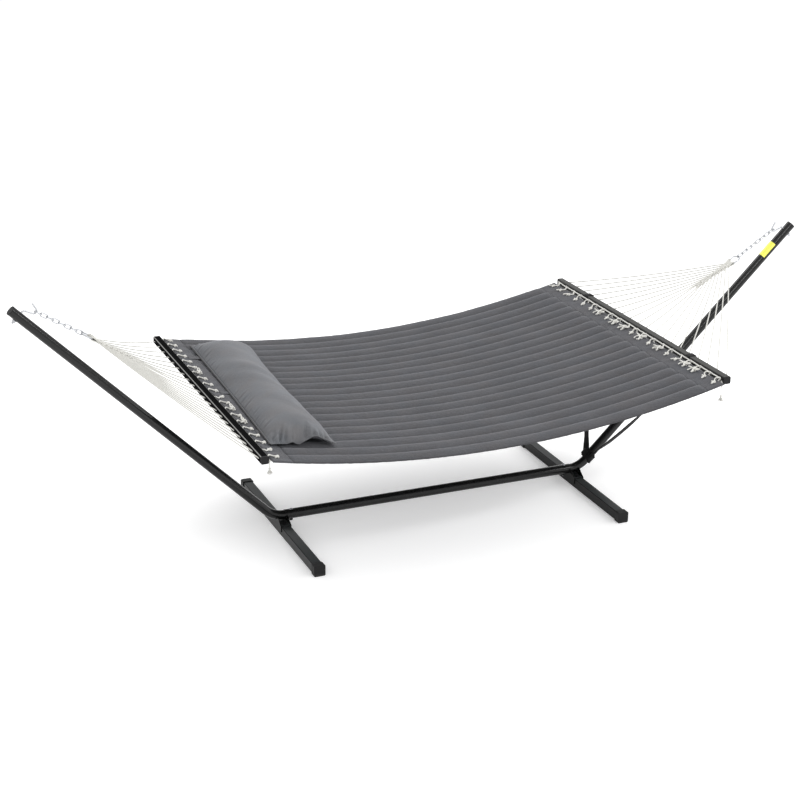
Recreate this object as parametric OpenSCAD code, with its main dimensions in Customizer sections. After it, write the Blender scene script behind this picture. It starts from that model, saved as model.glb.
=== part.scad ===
// Quilted spreader-bar hammock on a bolted steel stand.
// Frame: origin on the floor under the middle of the stand, +X along the
// hammock towards the foot end, +Y across it, +Z up. The head end, with the
// pillow, is at -X. Millimetres.

/* [Stand tubes] */
// Outer diameter of the two bent arms
arm_d = 38; // [36:1:40]
// Outer diameter of the base tube that the arms slide into
base_d = 41; // [41:1:44]
// Wall of the arm tubes
arm_wall = 1.5; // [1.2:0.1:2]
// Half of the base tube's length
base_half = 650; // [600:5:660]
// Height of the base tube's axis over the floor
axis_z = 68; // [67:1:74]
// Where the arm's and the base's axes cross, from the middle
bend_x = 698; // [690:1:710]
// Radius of the arm's bend, at the tube's axis
bend_r = 110; // [90:5:120]
// Tip of the arm's axis, from the middle
tip_x = 1690; // [1660:5:1720]
// Tip of the arm's axis, over the floor
tip_z = 1056; // [1040:2:1070]
// Length of each arm inside the base tube
insert_len = 90; // [60:5:120]

/* [Feet] */
// Distance of each foot bar from the middle
foot_x = 666; // [664:1:668]
// Length of a foot bar over its end caps
foot_len = 908; // [860:4:960]
// Side of the square foot tube
foot_sq = 40; // [38:1:40]
// Wall of the foot tube
foot_wall = 1.5; // [1.2:0.1:2]
// Radius of the foot tube's long corners
foot_r = 3; // [2:0.5:3.5]
// Thickness of a foot cap's wall, which is also the tube's lift off the floor
cap_wall = 3.5; // [3:0.5:4]
// Length of a foot cap
cap_len = 30; // [24:2:40]

/* [Hanging hardware] */
// Distance of the hook's hole from the arm's tip
hook_drop = 35; // [32:1:45]
// Diameter of the hook's wire
hook_d = 7.5; // [7:0.5:8]
// Diameter of the chain's wire
link_d = 5; // [4.5:0.5:5]
// Number of chain links at each end
link_count = 8; // [8:2:8]
// Pitch of the chain
link_pitch = 25; // [24:0.5:26]
// Diameter of the end ring's wire
ring_d = 7; // [6:0.5:8]
// Radius of the end ring, at its wire's middle
ring_r = 23.5; // [22:0.5:26]

/* [Spreader bars] */
// Length of a spreader bar over its caps
bar_len = 1420; // [1400:10:1440]
// Side of the square bar
bar_sq = 30; // [28:1:32]
// Radius of the bar's long corners
bar_r = 5; // [3:0.5:6]
// Wall of the square bar
bar_wall = 1.5; // [1.2:0.1:2]
// Distance of the head bar from the middle
head_bar_x = 963; // [950:1:975]
// Height of the head bar's axis
head_bar_z = 630; // [620:1:640]
// Distance of the foot bar's axis from the middle
foot_bar_x = 950; // [940:1:965]
// Height of the bar's axis at the foot end
foot_bar_z = 676; // [666:1:686]
// Number of suspension ropes at each end
rope_count = 20; // [20:2:20]
// Distance between ropes along the bar
rope_pitch = 72; // [70:0.5:73]
// Diameter of a suspension rope
rope_d = 5; // [4:0.5:6]

/* [Bed and pillow] */
// Width of the quilted bed
bed_w = 1450; // [1430:5:1460]
// Thickness of the quilted bed
bed_t = 12; // [10:1:14]
// Thickness of the hem bands
hem_t = 8; // [7:1:9]
// Length of each hem band
hem_len = 78; // [60:2:90]
// Height of the bed's lowest point, at half of its thickness
bed_low = 540; // [530:2:546]
// Length of the pillow
pillow_len = 1190; // [1100:10:1200]
// Width of the pillow, along the bed
pillow_w = 250; // [220:2:260]
// Height of the pillow
pillow_t = 92; // [80:2:100]

/* [Anti-roll strap] */
// Width of the strap
strap_w = 28; // [25:1:30]
// Distance of each bar wrap from the middle of the bar
wrap_y = 435; // [400:5:460]

/* [Hidden] */

steel_black = "#1b1c1d";
plastic_black = "#141414";
zinc = "#b4b7ba";
rope_white = "#e9e7df";
quilt_grey = "#5f5f64";
pillow_grey = "#808388";
web_black = "#161616";
$fn = 48;

arm_a = atan2(tip_z - axis_z, tip_x - bend_x);
bend_t = bend_r * tan(arm_a / 2);
bend_start = bend_x - bend_t;
arm_straight = norm([tip_x - bend_x, tip_z - axis_z]) - bend_t;
// Overlap that joins a straight run to its bend
weld = 0.3;
// A drawn bend is this much thinner than the straight tube
bend_draw = 0.1;
bolt_d = 8;
bolt_hole_d = 8.4;
joint_x = 622;
foot_bolt_y = 46;
saddle_t = 2.5;
saddle_half = 65;
cheek_low = 22;
foot_low = cap_wall;
foot_top = foot_low + foot_sq;
nut_h = 6.5;
nut_d = 15;
cap_flange = 3;
bar_cap = 4;

// Hook: a straight shank, a bend down, a short run, the bowl and a free leg
shank_out = 34;
shank_in = 21;
hook_bend_r = 12;
hook_bend_a = 70;
hook_run = 28;
bowl_r = 11;
bowl_a = 145;
free_leg = 26;
link_gap = 1.5;

// Chain and fan directions, seen from the front, falling towards the middle
chain_fall = 32;
link_half = 7.2;
clew_len = 180;
clew_step = 18;

bed_mid_x = -100;
bed_curve = 0.00012;
head_hem_x = -938;
foot_hem_x = 928;
grommet_in = 26;
grommet_d = 15;
grommet_hole = 7;
lace_d = 4;
lace_rise = 2.4;
tail_d = 4;
pillow_x = -896;
pillow_y = 20;
pillow_turn = 0.042;
pillow_gap = 0.5;
strap_t = 2.4;
loop_s = 66;
leg_off = 39;
label_s = 150;
label_len = 75;
label_t = 0.4;
label_from = 11;
label_turn = 120;

// Height of the bed's middle surface at x
function bed_z(x) = bed_low + bed_curve * pow(x - bed_mid_x, 2);

// Suspension rope and grommet places across the bed
function rope_y(i) = (i - (rope_count - 1) / 2) * rope_pitch;

// Points of a heading and a distance in the X-Z plane
function step(p, heading, dist) = [p[0] + dist * cos(heading), p[1] + dist * sin(heading)];

// Hook hole on the arm's axis and the hook's bowl, for the +X end
arm_dir = [cos(arm_a), sin(arm_a)];
hook_hole = [tip_x - hook_drop * arm_dir[0], tip_z - hook_drop * arm_dir[1]];
bend_centre = [shank_in, -hook_bend_r];
run_start = step(bend_centre, 90 - hook_bend_a, hook_bend_r);
run_end = step(run_start, -hook_bend_a, hook_run);
bowl_centre = step(run_end, 90 - hook_bend_a, bowl_r);
leg_start = step(bowl_centre, bowl_a - hook_bend_a - 90, bowl_r);
bowl_at = [hook_hole[0] - bowl_centre[0] * arm_dir[1] + bowl_centre[1] * arm_dir[0],
    hook_hole[1] + bowl_centre[0] * arm_dir[0] + bowl_centre[1] * arm_dir[1]];

// Where the first link bears in the bowl, and the ring's centre
bear_dist = bowl_r - hook_d / 2 - link_d / 2 - link_gap;
bear_at = step(bowl_at, 180 + chain_fall, bear_dist);
ring_at = step(bear_at, 180 + chain_fall,
    link_count * link_pitch + link_d / 2 - ring_d / 2 + ring_r);

// Fan plane of each end, s = 1 at the foot end and -1 at the head end
function bar_x(s) = s > 0 ? foot_bar_x : head_bar_x;
function bar_z(s) = s > 0 ? foot_bar_z : head_bar_z;
function fan_end(s) = [bar_x(s) + bar_sq / 2, bar_z(s)];
function fan_fall(s) = atan2(ring_at[1] - fan_end(s)[1], ring_at[0] - fan_end(s)[0]);

// Route of a rope tail: it leaves the bar's near end and hangs
tail_route = [[0, 0, 0], [0.5, -3, 1], [1.5, -6, -2], [2, -8, -8], [2, -8.5, -16],
    [1.5, -8, -25], [0.5, -7.5, -34], [0, -8, -43], [0.5, -8.5, -52], [1, -8.5, -60]];
tail_sides = 8;
// The head end's tail hangs this much of the foot end's
tail_share = 0.55;

// Mirrors its children to the head end when s is -1
module at_end(s) {
    if (s > 0) children();
    else mirror([1, 0, 0]) children();
}

// Solid of the arm's whole route, at diameter d, each end longer by extra
module arm_route(d, extra) {
    translate([base_half - insert_len - extra, 0, axis_z])
        rotate([0, 90, 0])
            cylinder(d = d, h = bend_start - base_half + insert_len + extra + weld);
    translate([bend_start, 0, axis_z + bend_r])
        rotate([0, 90, 0])
            rotate([90, 0, 0])
                rotate_extrude(angle = arm_a)
                    translate([bend_r, 0])
                        circle(d = d - bend_draw);
    on_arm(arm_straight + weld)
        cylinder(d = d, h = arm_straight + weld + extra);
}

// Places children on the arm's axis, dist from its tip, +Z towards the tip
module on_arm(dist) {
    translate([tip_x - dist * cos(arm_a), 0, tip_z - dist * sin(arm_a)])
        rotate([0, 90 - arm_a, 0])
            children();
}

// The arm: a bent steel tube, drilled for the joint bolt and the hook
module arm(s) {
    color(steel_black)
        at_end(s)
            difference() {
                arm_route(arm_d, 0);
                arm_route(arm_d - 2 * arm_wall, 1);
                translate([joint_x, 0, axis_z])
                    cylinder(d = bolt_hole_d, h = 2 * arm_d, center = true);
                on_arm(hook_drop)
                    rotate([0, 90, 0])
                        cylinder(d = bolt_hole_d, h = 2 * arm_d, center = true);
            }
}

// Straight base tube, drilled for the two joint bolts
module base_tube() {
    color(steel_black)
        difference() {
            translate([-base_half, 0, axis_z])
                rotate([0, 90, 0])
                    cylinder(d = base_d, h = 2 * base_half);
            translate([-base_half - 1, 0, axis_z])
                rotate([0, 90, 0])
                    cylinder(d = arm_d + 0.4, h = 2 * base_half + 2);
            for (s = [-1, 1])
                translate([s * joint_x, 0, axis_z])
                    cylinder(d = bolt_hole_d, h = 2 * base_d, center = true);
        }
}

// Plastic plug in the arm's cut end
module arm_cap(s) {
    color(plastic_black)
        at_end(s)
            on_arm(0) {
                cylinder(d = arm_d, h = cap_flange);
                translate([0, 0, -14])
                    cylinder(d = arm_d - 2 * arm_wall, h = 14);
            }
}

// Square with round corners
module round_square(side, r) {
    square([side - 2 * r, side], center = true);
    square([side, side - 2 * r], center = true);
    for (x = [-1, 1], z = [-1, 1])
        translate([x * (side / 2 - r), z * (side / 2 - r)])
            circle(r = r);
}

// Solid square bar with round corners, centred and lying along Y
module square_tube(side, r, length) {
    translate([0, length / 2, 0])
        rotate([90, 0, 0])
            linear_extrude(length)
                round_square(side, r);
}

// Square foot tube across the stand
module foot_bar(s) {
    tube_len = foot_len - 2 * cap_wall;
    color(steel_black)
        translate([s * foot_x, 0, foot_low + foot_sq / 2])
            difference() {
                square_tube(foot_sq, foot_r, tube_len);
                cube([foot_sq - 2 * foot_wall, tube_len + 2, foot_sq - 2 * foot_wall], center = true);
                for (e = [-1, 1])
                    translate([0, e * foot_bolt_y, 0])
                        cylinder(d = bolt_hole_d, h = 2 * foot_sq, center = true);
            }
}

// Moulded cap over one end of a foot tube, with chamfered edges
module foot_cap(s, e) {
    side = foot_sq + 2 * cap_wall;
    half = side / 2;
    c = 4;
    outline = [[-half + c, -half], [half - c, -half], [half, -half + c], [half, half - c],
        [half - c, half], [-half + c, half], [-half, half - c], [-half, -half + c]];
    color(plastic_black)
        translate([s * foot_x, e * foot_len / 2, half])
            rotate([e > 0 ? 90 : -90, 0, 0])
                difference() {
                    linear_extrude(cap_len)
                        polygon(outline);
                    translate([0, 0, cap_wall + cap_len / 2])
                        cube([foot_sq, foot_sq, cap_len], center = true);
                }
}

// Welded saddle under each bend: two cheeks on the foot bar and a top plate
module saddle(s) {
    cheek_x = foot_sq / 2;
    cheek = [[-saddle_half, cheek_low], [saddle_half, cheek_low], [saddle_half, foot_top + saddle_t],
        [23, axis_z + 6], [-23, axis_z + 6], [-saddle_half, foot_top + saddle_t]];
    color(steel_black)
        at_end(s)
            difference() {
                union() {
                    for (x = [foot_x - cheek_x - saddle_t, foot_x + cheek_x])
                        translate([x, 0, 0])
                            rotate([90, 0, 90])
                                linear_extrude(saddle_t)
                                    polygon(cheek);
                    translate([foot_x - cheek_x, -saddle_half, foot_top])
                        cube([2 * cheek_x, 2 * saddle_half, saddle_t]);
                }
                arm_route(arm_d, 0);
                translate([0, 0, axis_z])
                    rotate([0, 90, 0])
                        cylinder(d = base_d, h = base_half);
                for (e = [-1, 1])
                    translate([foot_x, e * foot_bolt_y, foot_top])
                        cylinder(d = bolt_hole_d, h = 20, center = true);
            }
}

// Hexagon nut with a hole for its bolt
module hex_nut(hole) {
    difference() {
        cylinder(d = nut_d, h = nut_h, $fn = 6);
        translate([0, 0, -1])
            cylinder(d = hole, h = nut_h + 2);
    }
}

// Low round bolt head, flat at z = 0
module round_head(d, h) {
    intersection() {
        cylinder(d = d, h = h);
        translate([0, 0, h - (d * d / 4 + h * h) / (2 * h)])
            sphere(r = (d * d / 4 + h * h) / (2 * h), $fn = 64);
    }
}

// Bolts that hold the arms in the base tube, heads up
module joint_bolts() {
    color(zinc)
        for (s = [-1, 1])
            translate([s * joint_x, 0, axis_z]) {
                translate([0, 0, -base_d / 2 - nut_h - 3])
                    cylinder(d = bolt_d, h = base_d + nut_h + 3);
                translate([0, 0, base_d / 2])
                    round_head(16, 4);
            }
}

module joint_nuts() {
    color(zinc)
        for (s = [-1, 1])
            translate([s * joint_x, 0, axis_z - base_d / 2 - nut_h])
                hex_nut(bolt_d);
}

// Carriage bolts from under the foot bars up through the saddles
module foot_bolts() {
    top = foot_top + saddle_t + nut_h + 2.5;
    color(zinc)
        for (s = [-1, 1], e = [-1, 1])
            translate([s * foot_x, e * foot_bolt_y, 0]) {
                translate([0, 0, foot_low])
                    cylinder(d = bolt_d, h = top - foot_low);
                translate([0, 0, foot_low])
                    mirror([0, 0, 1])
                        round_head(18, 3);
            }
}

module foot_nuts() {
    color(zinc)
        for (s = [-1, 1], e = [-1, 1])
            translate([s * foot_x, e * foot_bolt_y, foot_top + saddle_t])
                hex_nut(bolt_d);
}

// Hook frame at the head end: X along the hook's shank, Y up the arm
module hook_frame(s) {
    mirror_to = s > 0 ? 1 : 0;
    mirror([mirror_to, 0, 0])
        translate([-hook_hole[0], 0, hook_hole[1]])
            rotate([90, 0, 0])
                rotate([0, 0, 90 - arm_a])
                    children();
}

// Round wire between two points of the hook's plane
module wire(a, b, d) {
    v = b - a;
    translate([a[0], a[1], 0])
        rotate([0, 90, atan2(v[1], v[0])])
            translate([0, 0, -weld])
                cylinder(d = d, h = norm(v) + 2 * weld);
}

// Round wire along an arc of the hook's plane
module wire_arc(c, r, from, turn, d) {
    translate([c[0], c[1], 0])
        rotate([0, 0, from])
            rotate_extrude(angle = turn)
                translate([r, 0])
                    circle(d = d - bend_draw);
}

// Hook bolt: threaded shank through the arm, bent into an open hook
module hook(s) {
    color(zinc)
        hook_frame(s) {
            wire([-shank_out, 0], [shank_in, 0], hook_d);
            wire_arc(bend_centre, hook_bend_r, 90 - hook_bend_a, hook_bend_a, hook_d);
            wire(run_start, run_end, hook_d);
            wire_arc(bowl_centre, bowl_r, -hook_bend_a - 90, bowl_a, hook_d);
            wire(leg_start, step(leg_start, bowl_a - hook_bend_a, free_leg), hook_d);
        }
}

module hook_nuts() {
    color(zinc)
        for (s = [-1, 1])
            hook_frame(s)
                translate([-arm_d / 2 - 1.6 - nut_h, 0, 0])
                    rotate([0, 90, 0])
                        hex_nut(hook_d);
}

module hook_washers() {
    color(zinc)
        for (s = [-1, 1])
            hook_frame(s)
                translate([-arm_d / 2 - 1.6, 0, 0])
                    rotate([0, 90, 0])
                        difference() {
                            cylinder(d = 18, h = 1.6);
                            translate([0, 0, -1])
                                cylinder(d = bolt_hole_d, h = 4);
                        }
}

// Plain sticker wrapped on the arm at the foot end
module label() {
    color("#e6ec55")
        on_arm(label_s + label_len / 2)
            rotate([0, 0, 270 - label_from - label_turn])
                rotate_extrude(angle = label_turn)
                    translate([arm_d / 2 + 0.05, 0])
                        square([label_t, label_len]);
}

// Places children on the fall line at dist from a point, local +X downhill
module on_fall(p, fall, dist) {
    translate([p[0] - dist * cos(fall), 0, p[1] - dist * sin(fall)])
        rotate([0, 180 - fall, 0])
            children();
}

// One welded chain link in the local X-Y plane, centred
module link() {
    reach = (link_pitch + link_d) / 2 - link_half + 0.1;
    for (e = [-1, 1]) {
        translate([0, e * link_half, 0])
            rotate([0, 90, 0])
                cylinder(d = link_d, h = 2 * reach, center = true);
        translate([e * reach, 0, 0])
            rotate([0, 0, e > 0 ? -90 : 90])
                rotate_extrude(angle = 180)
                    translate([link_half, 0])
                        circle(d = link_d);
    }
}

// Chain from the hook's bowl to the end ring
module chain(s) {
    color(zinc)
        at_end(s)
            for (i = [0 : link_count - 1])
                on_fall(bear_at, chain_fall, link_pitch * (i + 0.5) + link_d / 2)
                    rotate([i % 2 == 0 ? 0 : 90, 0, 0])
                        link();
}

// End ring that gathers the ropes
module ring(s) {
    color(zinc)
        at_end(s)
            on_fall(ring_at, chain_fall, 0)
                rotate_extrude()
                    translate([ring_r, 0])
                        circle(d = ring_d);
}

// Woven clew: rope loops round the ring and a tapering spine
module clew(s) {
    loop_r = ring_d / 2 + rope_d / 2 + 0.3;
    color(rope_white)
        at_end(s) {
            for (y = [-1, 0, 1])
                on_fall(ring_at, chain_fall, ring_r - (y == 0 ? 0 : 0.9))
                    translate([0, 6.4 * y, 0])
                        rotate([90, 0, 0])
                            rotate_extrude()
                                translate([loop_r, 0])
                                    circle(d = rope_d);
            on_fall(ring_at, fan_fall(s), ring_r + loop_r + rope_d / 2 + 0.5)
                rotate([0, 90, 0])
                    cylinder(d1 = 13, d2 = 8, h = clew_len);
        }
}

// Straight round cord between two points
module cord(a, b, d) {
    v = b - a;
    translate(a)
        rotate([0, acos(v[2] / norm(v)), atan2(v[1], v[0])])
            cylinder(d = d, h = norm(v), $fn = 24);
}

// Suspension ropes from the clew to the outer face of the spreader bar
module rope_fan(s) {
    half = rope_count / 2;
    first = ring_r + 14;
    color(rope_white)
        at_end(s)
            for (i = [0 : rope_count - 1]) {
                out = i < half ? half - 1 - i : i - half;
                side = i < half ? -1 : 1;
                from_ring = first + clew_step * (half - 1 - out);
                a = [ring_at[0] - from_ring * cos(fan_fall(s)), side * (10.5 - 0.45 * (half - 1 - out)),
                    ring_at[1] - from_ring * sin(fan_fall(s))];
                b = [fan_end(s)[0], rope_y(i), fan_end(s)[1]];
                cord(a, b, rope_d);
            }
}

// Hollow spreader bar, drilled across for every rope
module spreader_bar(s) {
    tube = bar_len - 2 * bar_cap;
    inner = bar_sq - 2 * bar_wall;
    color(steel_black)
        translate([s * bar_x(s), 0, bar_z(s)])
            difference() {
                square_tube(bar_sq, bar_r, tube);
                cube([inner, tube + 2, inner], center = true);
                for (i = [0 : rope_count - 1])
                    translate([0, rope_y(i), 0])
                        rotate([0, 90, 0])
                            cylinder(d = rope_d + 2, h = 2 * bar_sq, center = true, $fn = 24);
            }
}

// Plastic plugs in both ends of a bar
module bar_caps(s) {
    inner = bar_sq - 2 * bar_wall;
    color(plastic_black)
        for (e = [-1, 1])
            translate([s * bar_x(s), e * (bar_len / 2 - bar_cap), bar_z(s)])
                rotate([e > 0 ? -90 : 90, 0, 0]) {
                    linear_extrude(bar_cap)
                        round_square(bar_sq, bar_r);
                    translate([0, 0, -8])
                        cube([inner - 0.2, inner - 0.2, 16], center = true);
                }
}

// Slope of the bed's middle surface at x, in degrees
function bed_slope(x) = atan(2 * bed_curve * (x - bed_mid_x));

// Middle of a grommet
function grommet_x(s) = s > 0 ? foot_hem_x - grommet_in : head_hem_x + grommet_in;

// Lacing: each tie leaves the bar's inner face and goes through a grommet
module lacing(s) {
    x0 = s * (bar_x(s) - bar_sq / 2);
    gx = grommet_x(s);
    color(rope_white)
        for (i = [0 : rope_count - 1]) {
            cord([s * (bar_x(s) + bar_sq / 2 - 5), rope_y(i), bar_z(s)],
                [x0 - s * 1.5, rope_y(i), bar_z(s)], lace_d + 1);
            cord([x0 - s * 0.8, rope_y(i), bar_z(s) + lace_rise],
                [gx + s * 5, rope_y(i), bed_z(gx) + hem_t / 2 + lace_d / 2 + 2.6], lace_d);
        }
}

// Rolled metal eyelets along a hem
module grommets(s) {
    gx = grommet_x(s);
    color(zinc)
        for (i = [0 : rope_count - 1])
            translate([gx, rope_y(i), bed_z(gx)])
                rotate([0, -bed_slope(gx), 0])
                    difference() {
                        union() {
                            cylinder(d = grommet_hole + 2, h = hem_t + 2, center = true, $fn = 24);
                            for (e = [-1, 1])
                                translate([0, 0, e * (hem_t / 2 + 0.5)])
                                    cylinder(d = grommet_d, h = 1, center = true, $fn = 24);
                        }
                        cylinder(d = grommet_hole, h = hem_t + 4, center = true, $fn = 24);
                    }
}

// Strip of the bed's surface between x0 and x1, of thickness t and width w
module bed_strip(x0, x1, t, w) {
    steps = max(2, round((x1 - x0) / 45));
    xs = [for (i = [0 : steps]) x0 + (x1 - x0) * i / steps];
    top = [for (x = xs) [x, bed_z(x) + t / 2]];
    low = [for (i = [steps : -1 : 0]) [xs[i], bed_z(xs[i]) - t / 2]];
    translate([0, w / 2, 0])
        rotate([90, 0, 0])
            linear_extrude(w)
                polygon(concat(top, low));
}

// Plain double hem that carries the grommets
module hem(s) {
    x0 = s > 0 ? foot_hem_x - hem_len : head_hem_x;
    gx = grommet_x(s);
    color(quilt_grey)
        difference() {
            bed_strip(x0, x0 + hem_len, hem_t, bed_w);
            for (i = [0 : rope_count - 1])
                translate([gx, rope_y(i), bed_z(gx)])
                    rotate([0, -bed_slope(gx), 0])
                        cylinder(d = grommet_hole + 2, h = 4 * hem_t, center = true, $fn = 24);
        }
}

// Quilted bed between the hems
module bed() {
    color(quilt_grey)
        bed_strip(head_hem_x + hem_len, foot_hem_x - hem_len, bed_t, bed_w);
}

// Head edge of the pillow at y: it lies a little turned on the bed
function pillow_edge(y) = pillow_x + pillow_turn * (y - pillow_y + pillow_len / 2);

// Thin slice of the pillow at y: flat on the bed, crowned on top
module pillow_slice(y) {
    steps = 16;
    edge = 10;
    slice_t = 0.2;
    us = [for (i = [0 : steps]) i / steps];
    low = [for (u = us) let (x = pillow_edge(y) + pillow_w * u)
        [x, bed_z(x) + bed_t / 2 + pillow_gap]];
    top = [for (i = [steps : -1 : 0]) let (u = us[i], x = pillow_edge(y) + pillow_w * u)
        [x, bed_z(x) + bed_t / 2 + edge + (pillow_t - edge) * pow(sin(180 * u), 0.6)]];
    translate([0, y, 0])
        rotate([90, 0, 0])
            linear_extrude(slice_t, center = true)
                polygon(concat(low, top));
}

// Padded pillow
module pillow() {
    color(pillow_grey)
        hull()
            for (e = [-1, 1])
                pillow_slice(pillow_y + e * pillow_len / 2);
}

// Fabric tabs that hold the pillow's head edge to the hem
module pillow_tabs() {
    tab_w = 40;
    tab_t = 1.5;
    root_x = pillow_x - 6;
    root_z = bed_z(root_x) + hem_t / 2 + 0.6;
    color(pillow_grey)
        for (y = [-440, 0, 440])
            translate([0, pillow_y + y + tab_w / 2, 0])
                rotate([90, 0, 0])
                    linear_extrude(tab_w)
                        let (x1 = pillow_edge(pillow_y + y - tab_w / 2) - 0.8,
                            z1 = bed_z(x1) + bed_t / 2 + 0.8)
                            polygon([[root_x, root_z], [x1, z1], [x1, z1 + tab_t],
                                [root_x, root_z + tab_t]]);
}

// Webbing loop and slider round the foot of one arm
module strap_loop() {
    color(web_black)
        on_arm(norm([tip_x - bend_x, tip_z - axis_z]) - loop_s + strap_w / 2)
            difference() {
                union() {
                    cylinder(d = arm_d + 2 * strap_t, h = strap_w);
                    translate([-arm_d / 2 - 7, -18, 0])
                        cube([8, 36, strap_w]);
                }
                translate([0, 0, -1])
                    cylinder(d = arm_d + 0.2, h = strap_w + 2);
            }
}

// Two webbing legs from the loop up to the bar at the foot end
module strap_legs() {
    low_x = bend_x + loop_s * cos(arm_a) - leg_off * sin(arm_a);
    low_z = axis_z + loop_s * sin(arm_a) + leg_off * cos(arm_a);
    color(web_black)
        for (e = [-1, 1])
            hull() {
                translate([low_x, e * 12, low_z])
                    cube([strap_w - 6, 1.6, 2], center = true);
                translate([foot_bar_x, e * wrap_y, foot_bar_z - bar_sq / 2 - strap_t - 2])
                    cube([1.6, strap_w, 2], center = true);
            }
}

// Webbing wraps round the foot-end bar
module strap_wraps() {
    out = bar_sq + 2 * strap_t;
    color(web_black)
        for (e = [-1, 1])
            translate([foot_bar_x, e * wrap_y, foot_bar_z])
                difference() {
                    cube([out, strap_w, out], center = true);
                    cube([bar_sq, strap_w + 2, bar_sq], center = true);
                }
}

// Ring of points round a route, seen across X-Y
function ring_points(p, t, r, n) = let (
    side = cross(t, [1, 0, 0]),
    u = side / norm(side),
    v = cross(t, u) / norm(cross(t, u)))
    [for (k = [0 : n - 1]) p + r * (cos(360 * k / n) * u + sin(360 * k / n) * v)];

// Tube swept along a route, closed at both ends
module swept(route, d, n) {
    last = len(route) - 1;
    points = [for (i = [0 : last])
        each ring_points(route[i], route[min(i + 1, last)] - route[max(i - 1, 0)], d / 2, n)];
    walls = [for (i = [0 : last - 1], k = [0 : n - 1]) let (m = (k + 1) % n)
        [i * n + k, i * n + m, (i + 1) * n + m, (i + 1) * n + k]];
    start = [for (k = [n - 1 : -1 : 0]) k];
    stop = [for (k = [0 : n - 1]) last * n + k];
    polyhedron(points = points, faces = concat([start, stop], walls));
}

// Free end of the lacing cord that hangs at the bar's near end
module rope_tail(s) {
    exit = [s * (bar_x(s) - bar_sq / 2 - 4), rope_y(0) - 8, bar_z(s) - 6];
    color(rope_white)
        swept([for (p = tail_route) exit + [p[0], p[1], p[2] * (s > 0 ? 1 : tail_share)]],
            tail_d, tail_sides);
}

base_tube();
arm(-1);  // arm_left
arm(1);  // arm_right
arm_cap(-1);  // arm_cap_left
arm_cap(1);  // arm_cap_right
foot_bar(-1);  // foot_bar_left
foot_bar(1);  // foot_bar_right
foot_cap(-1, -1);  // foot_cap_left_front
foot_cap(-1, 1);  // foot_cap_left_back
foot_cap(1, -1);  // foot_cap_right_front
foot_cap(1, 1);  // foot_cap_right_back
saddle(-1);  // saddle_left
saddle(1);  // saddle_right
joint_bolts();
joint_nuts();
foot_bolts();
foot_nuts();
hook(-1);  // hook_left
hook(1);  // hook_right
hook_nuts();
hook_washers();
label();
strap_loop();
strap_legs();
strap_wraps();
chain(-1);  // chain_left
chain(1);  // chain_right
ring(-1);  // ring_left
ring(1);  // ring_right
clew(-1);  // clew_left
clew(1);  // clew_right
rope_fan(-1);  // rope_fan_left
rope_fan(1);  // rope_fan_right
spreader_bar(-1);  // spreader_bar_left
spreader_bar(1);  // spreader_bar_right
bar_caps(-1);  // bar_caps_left
bar_caps(1);  // bar_caps_right
lacing(-1);  // lacing_left
lacing(1);  // lacing_right
grommets(-1);  // grommets_left
grommets(1);  // grommets_right
hem(-1);  // hem_left
hem(1);  // hem_right
bed();
pillow();
pillow_tabs();
rope_tail(-1);  // rope_tail_left
rope_tail(1);  // rope_tail_right
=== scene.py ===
# Quilted hammock with spreader bars on a bolted steel stand. Metres, +Z up.
import math

import bmesh
import bpy
import numpy as np
from mathutils import Matrix, Vector


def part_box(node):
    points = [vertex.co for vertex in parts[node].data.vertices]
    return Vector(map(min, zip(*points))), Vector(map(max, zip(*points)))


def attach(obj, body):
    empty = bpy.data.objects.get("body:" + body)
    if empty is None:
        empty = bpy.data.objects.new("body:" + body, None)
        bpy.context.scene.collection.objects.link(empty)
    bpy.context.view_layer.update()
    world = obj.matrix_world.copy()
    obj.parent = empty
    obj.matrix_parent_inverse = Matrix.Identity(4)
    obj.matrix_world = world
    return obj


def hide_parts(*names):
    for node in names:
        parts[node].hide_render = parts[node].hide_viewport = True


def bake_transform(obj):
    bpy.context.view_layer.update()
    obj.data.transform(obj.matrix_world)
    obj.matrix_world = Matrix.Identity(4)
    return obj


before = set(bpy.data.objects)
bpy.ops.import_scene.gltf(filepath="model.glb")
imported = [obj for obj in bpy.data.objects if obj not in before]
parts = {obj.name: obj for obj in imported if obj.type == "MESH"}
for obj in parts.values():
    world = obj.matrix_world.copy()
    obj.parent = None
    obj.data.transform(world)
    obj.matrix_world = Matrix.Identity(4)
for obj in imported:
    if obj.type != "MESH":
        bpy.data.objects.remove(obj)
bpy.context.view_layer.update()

ENDS = {"left": -1, "right": 1}


def placed(name, data):
    """A new object in the scene that holds data."""
    made = bpy.data.objects.new(name, data)
    bpy.context.collection.objects.link(made)
    return made


def faced_out(mesh, weld=0.0):
    """Joins points closer than weld, if it is set, and turns every face outward."""
    work = bmesh.new()
    work.from_mesh(mesh)
    if weld:
        bmesh.ops.remove_doubles(work, verts=work.verts, dist=weld)
    bmesh.ops.recalc_face_normals(work, faces=work.faces)
    work.to_mesh(mesh)
    work.free()


def unit(values):
    """Values held between 0 and 1."""
    return np.clip(values, 0, 1)


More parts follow.
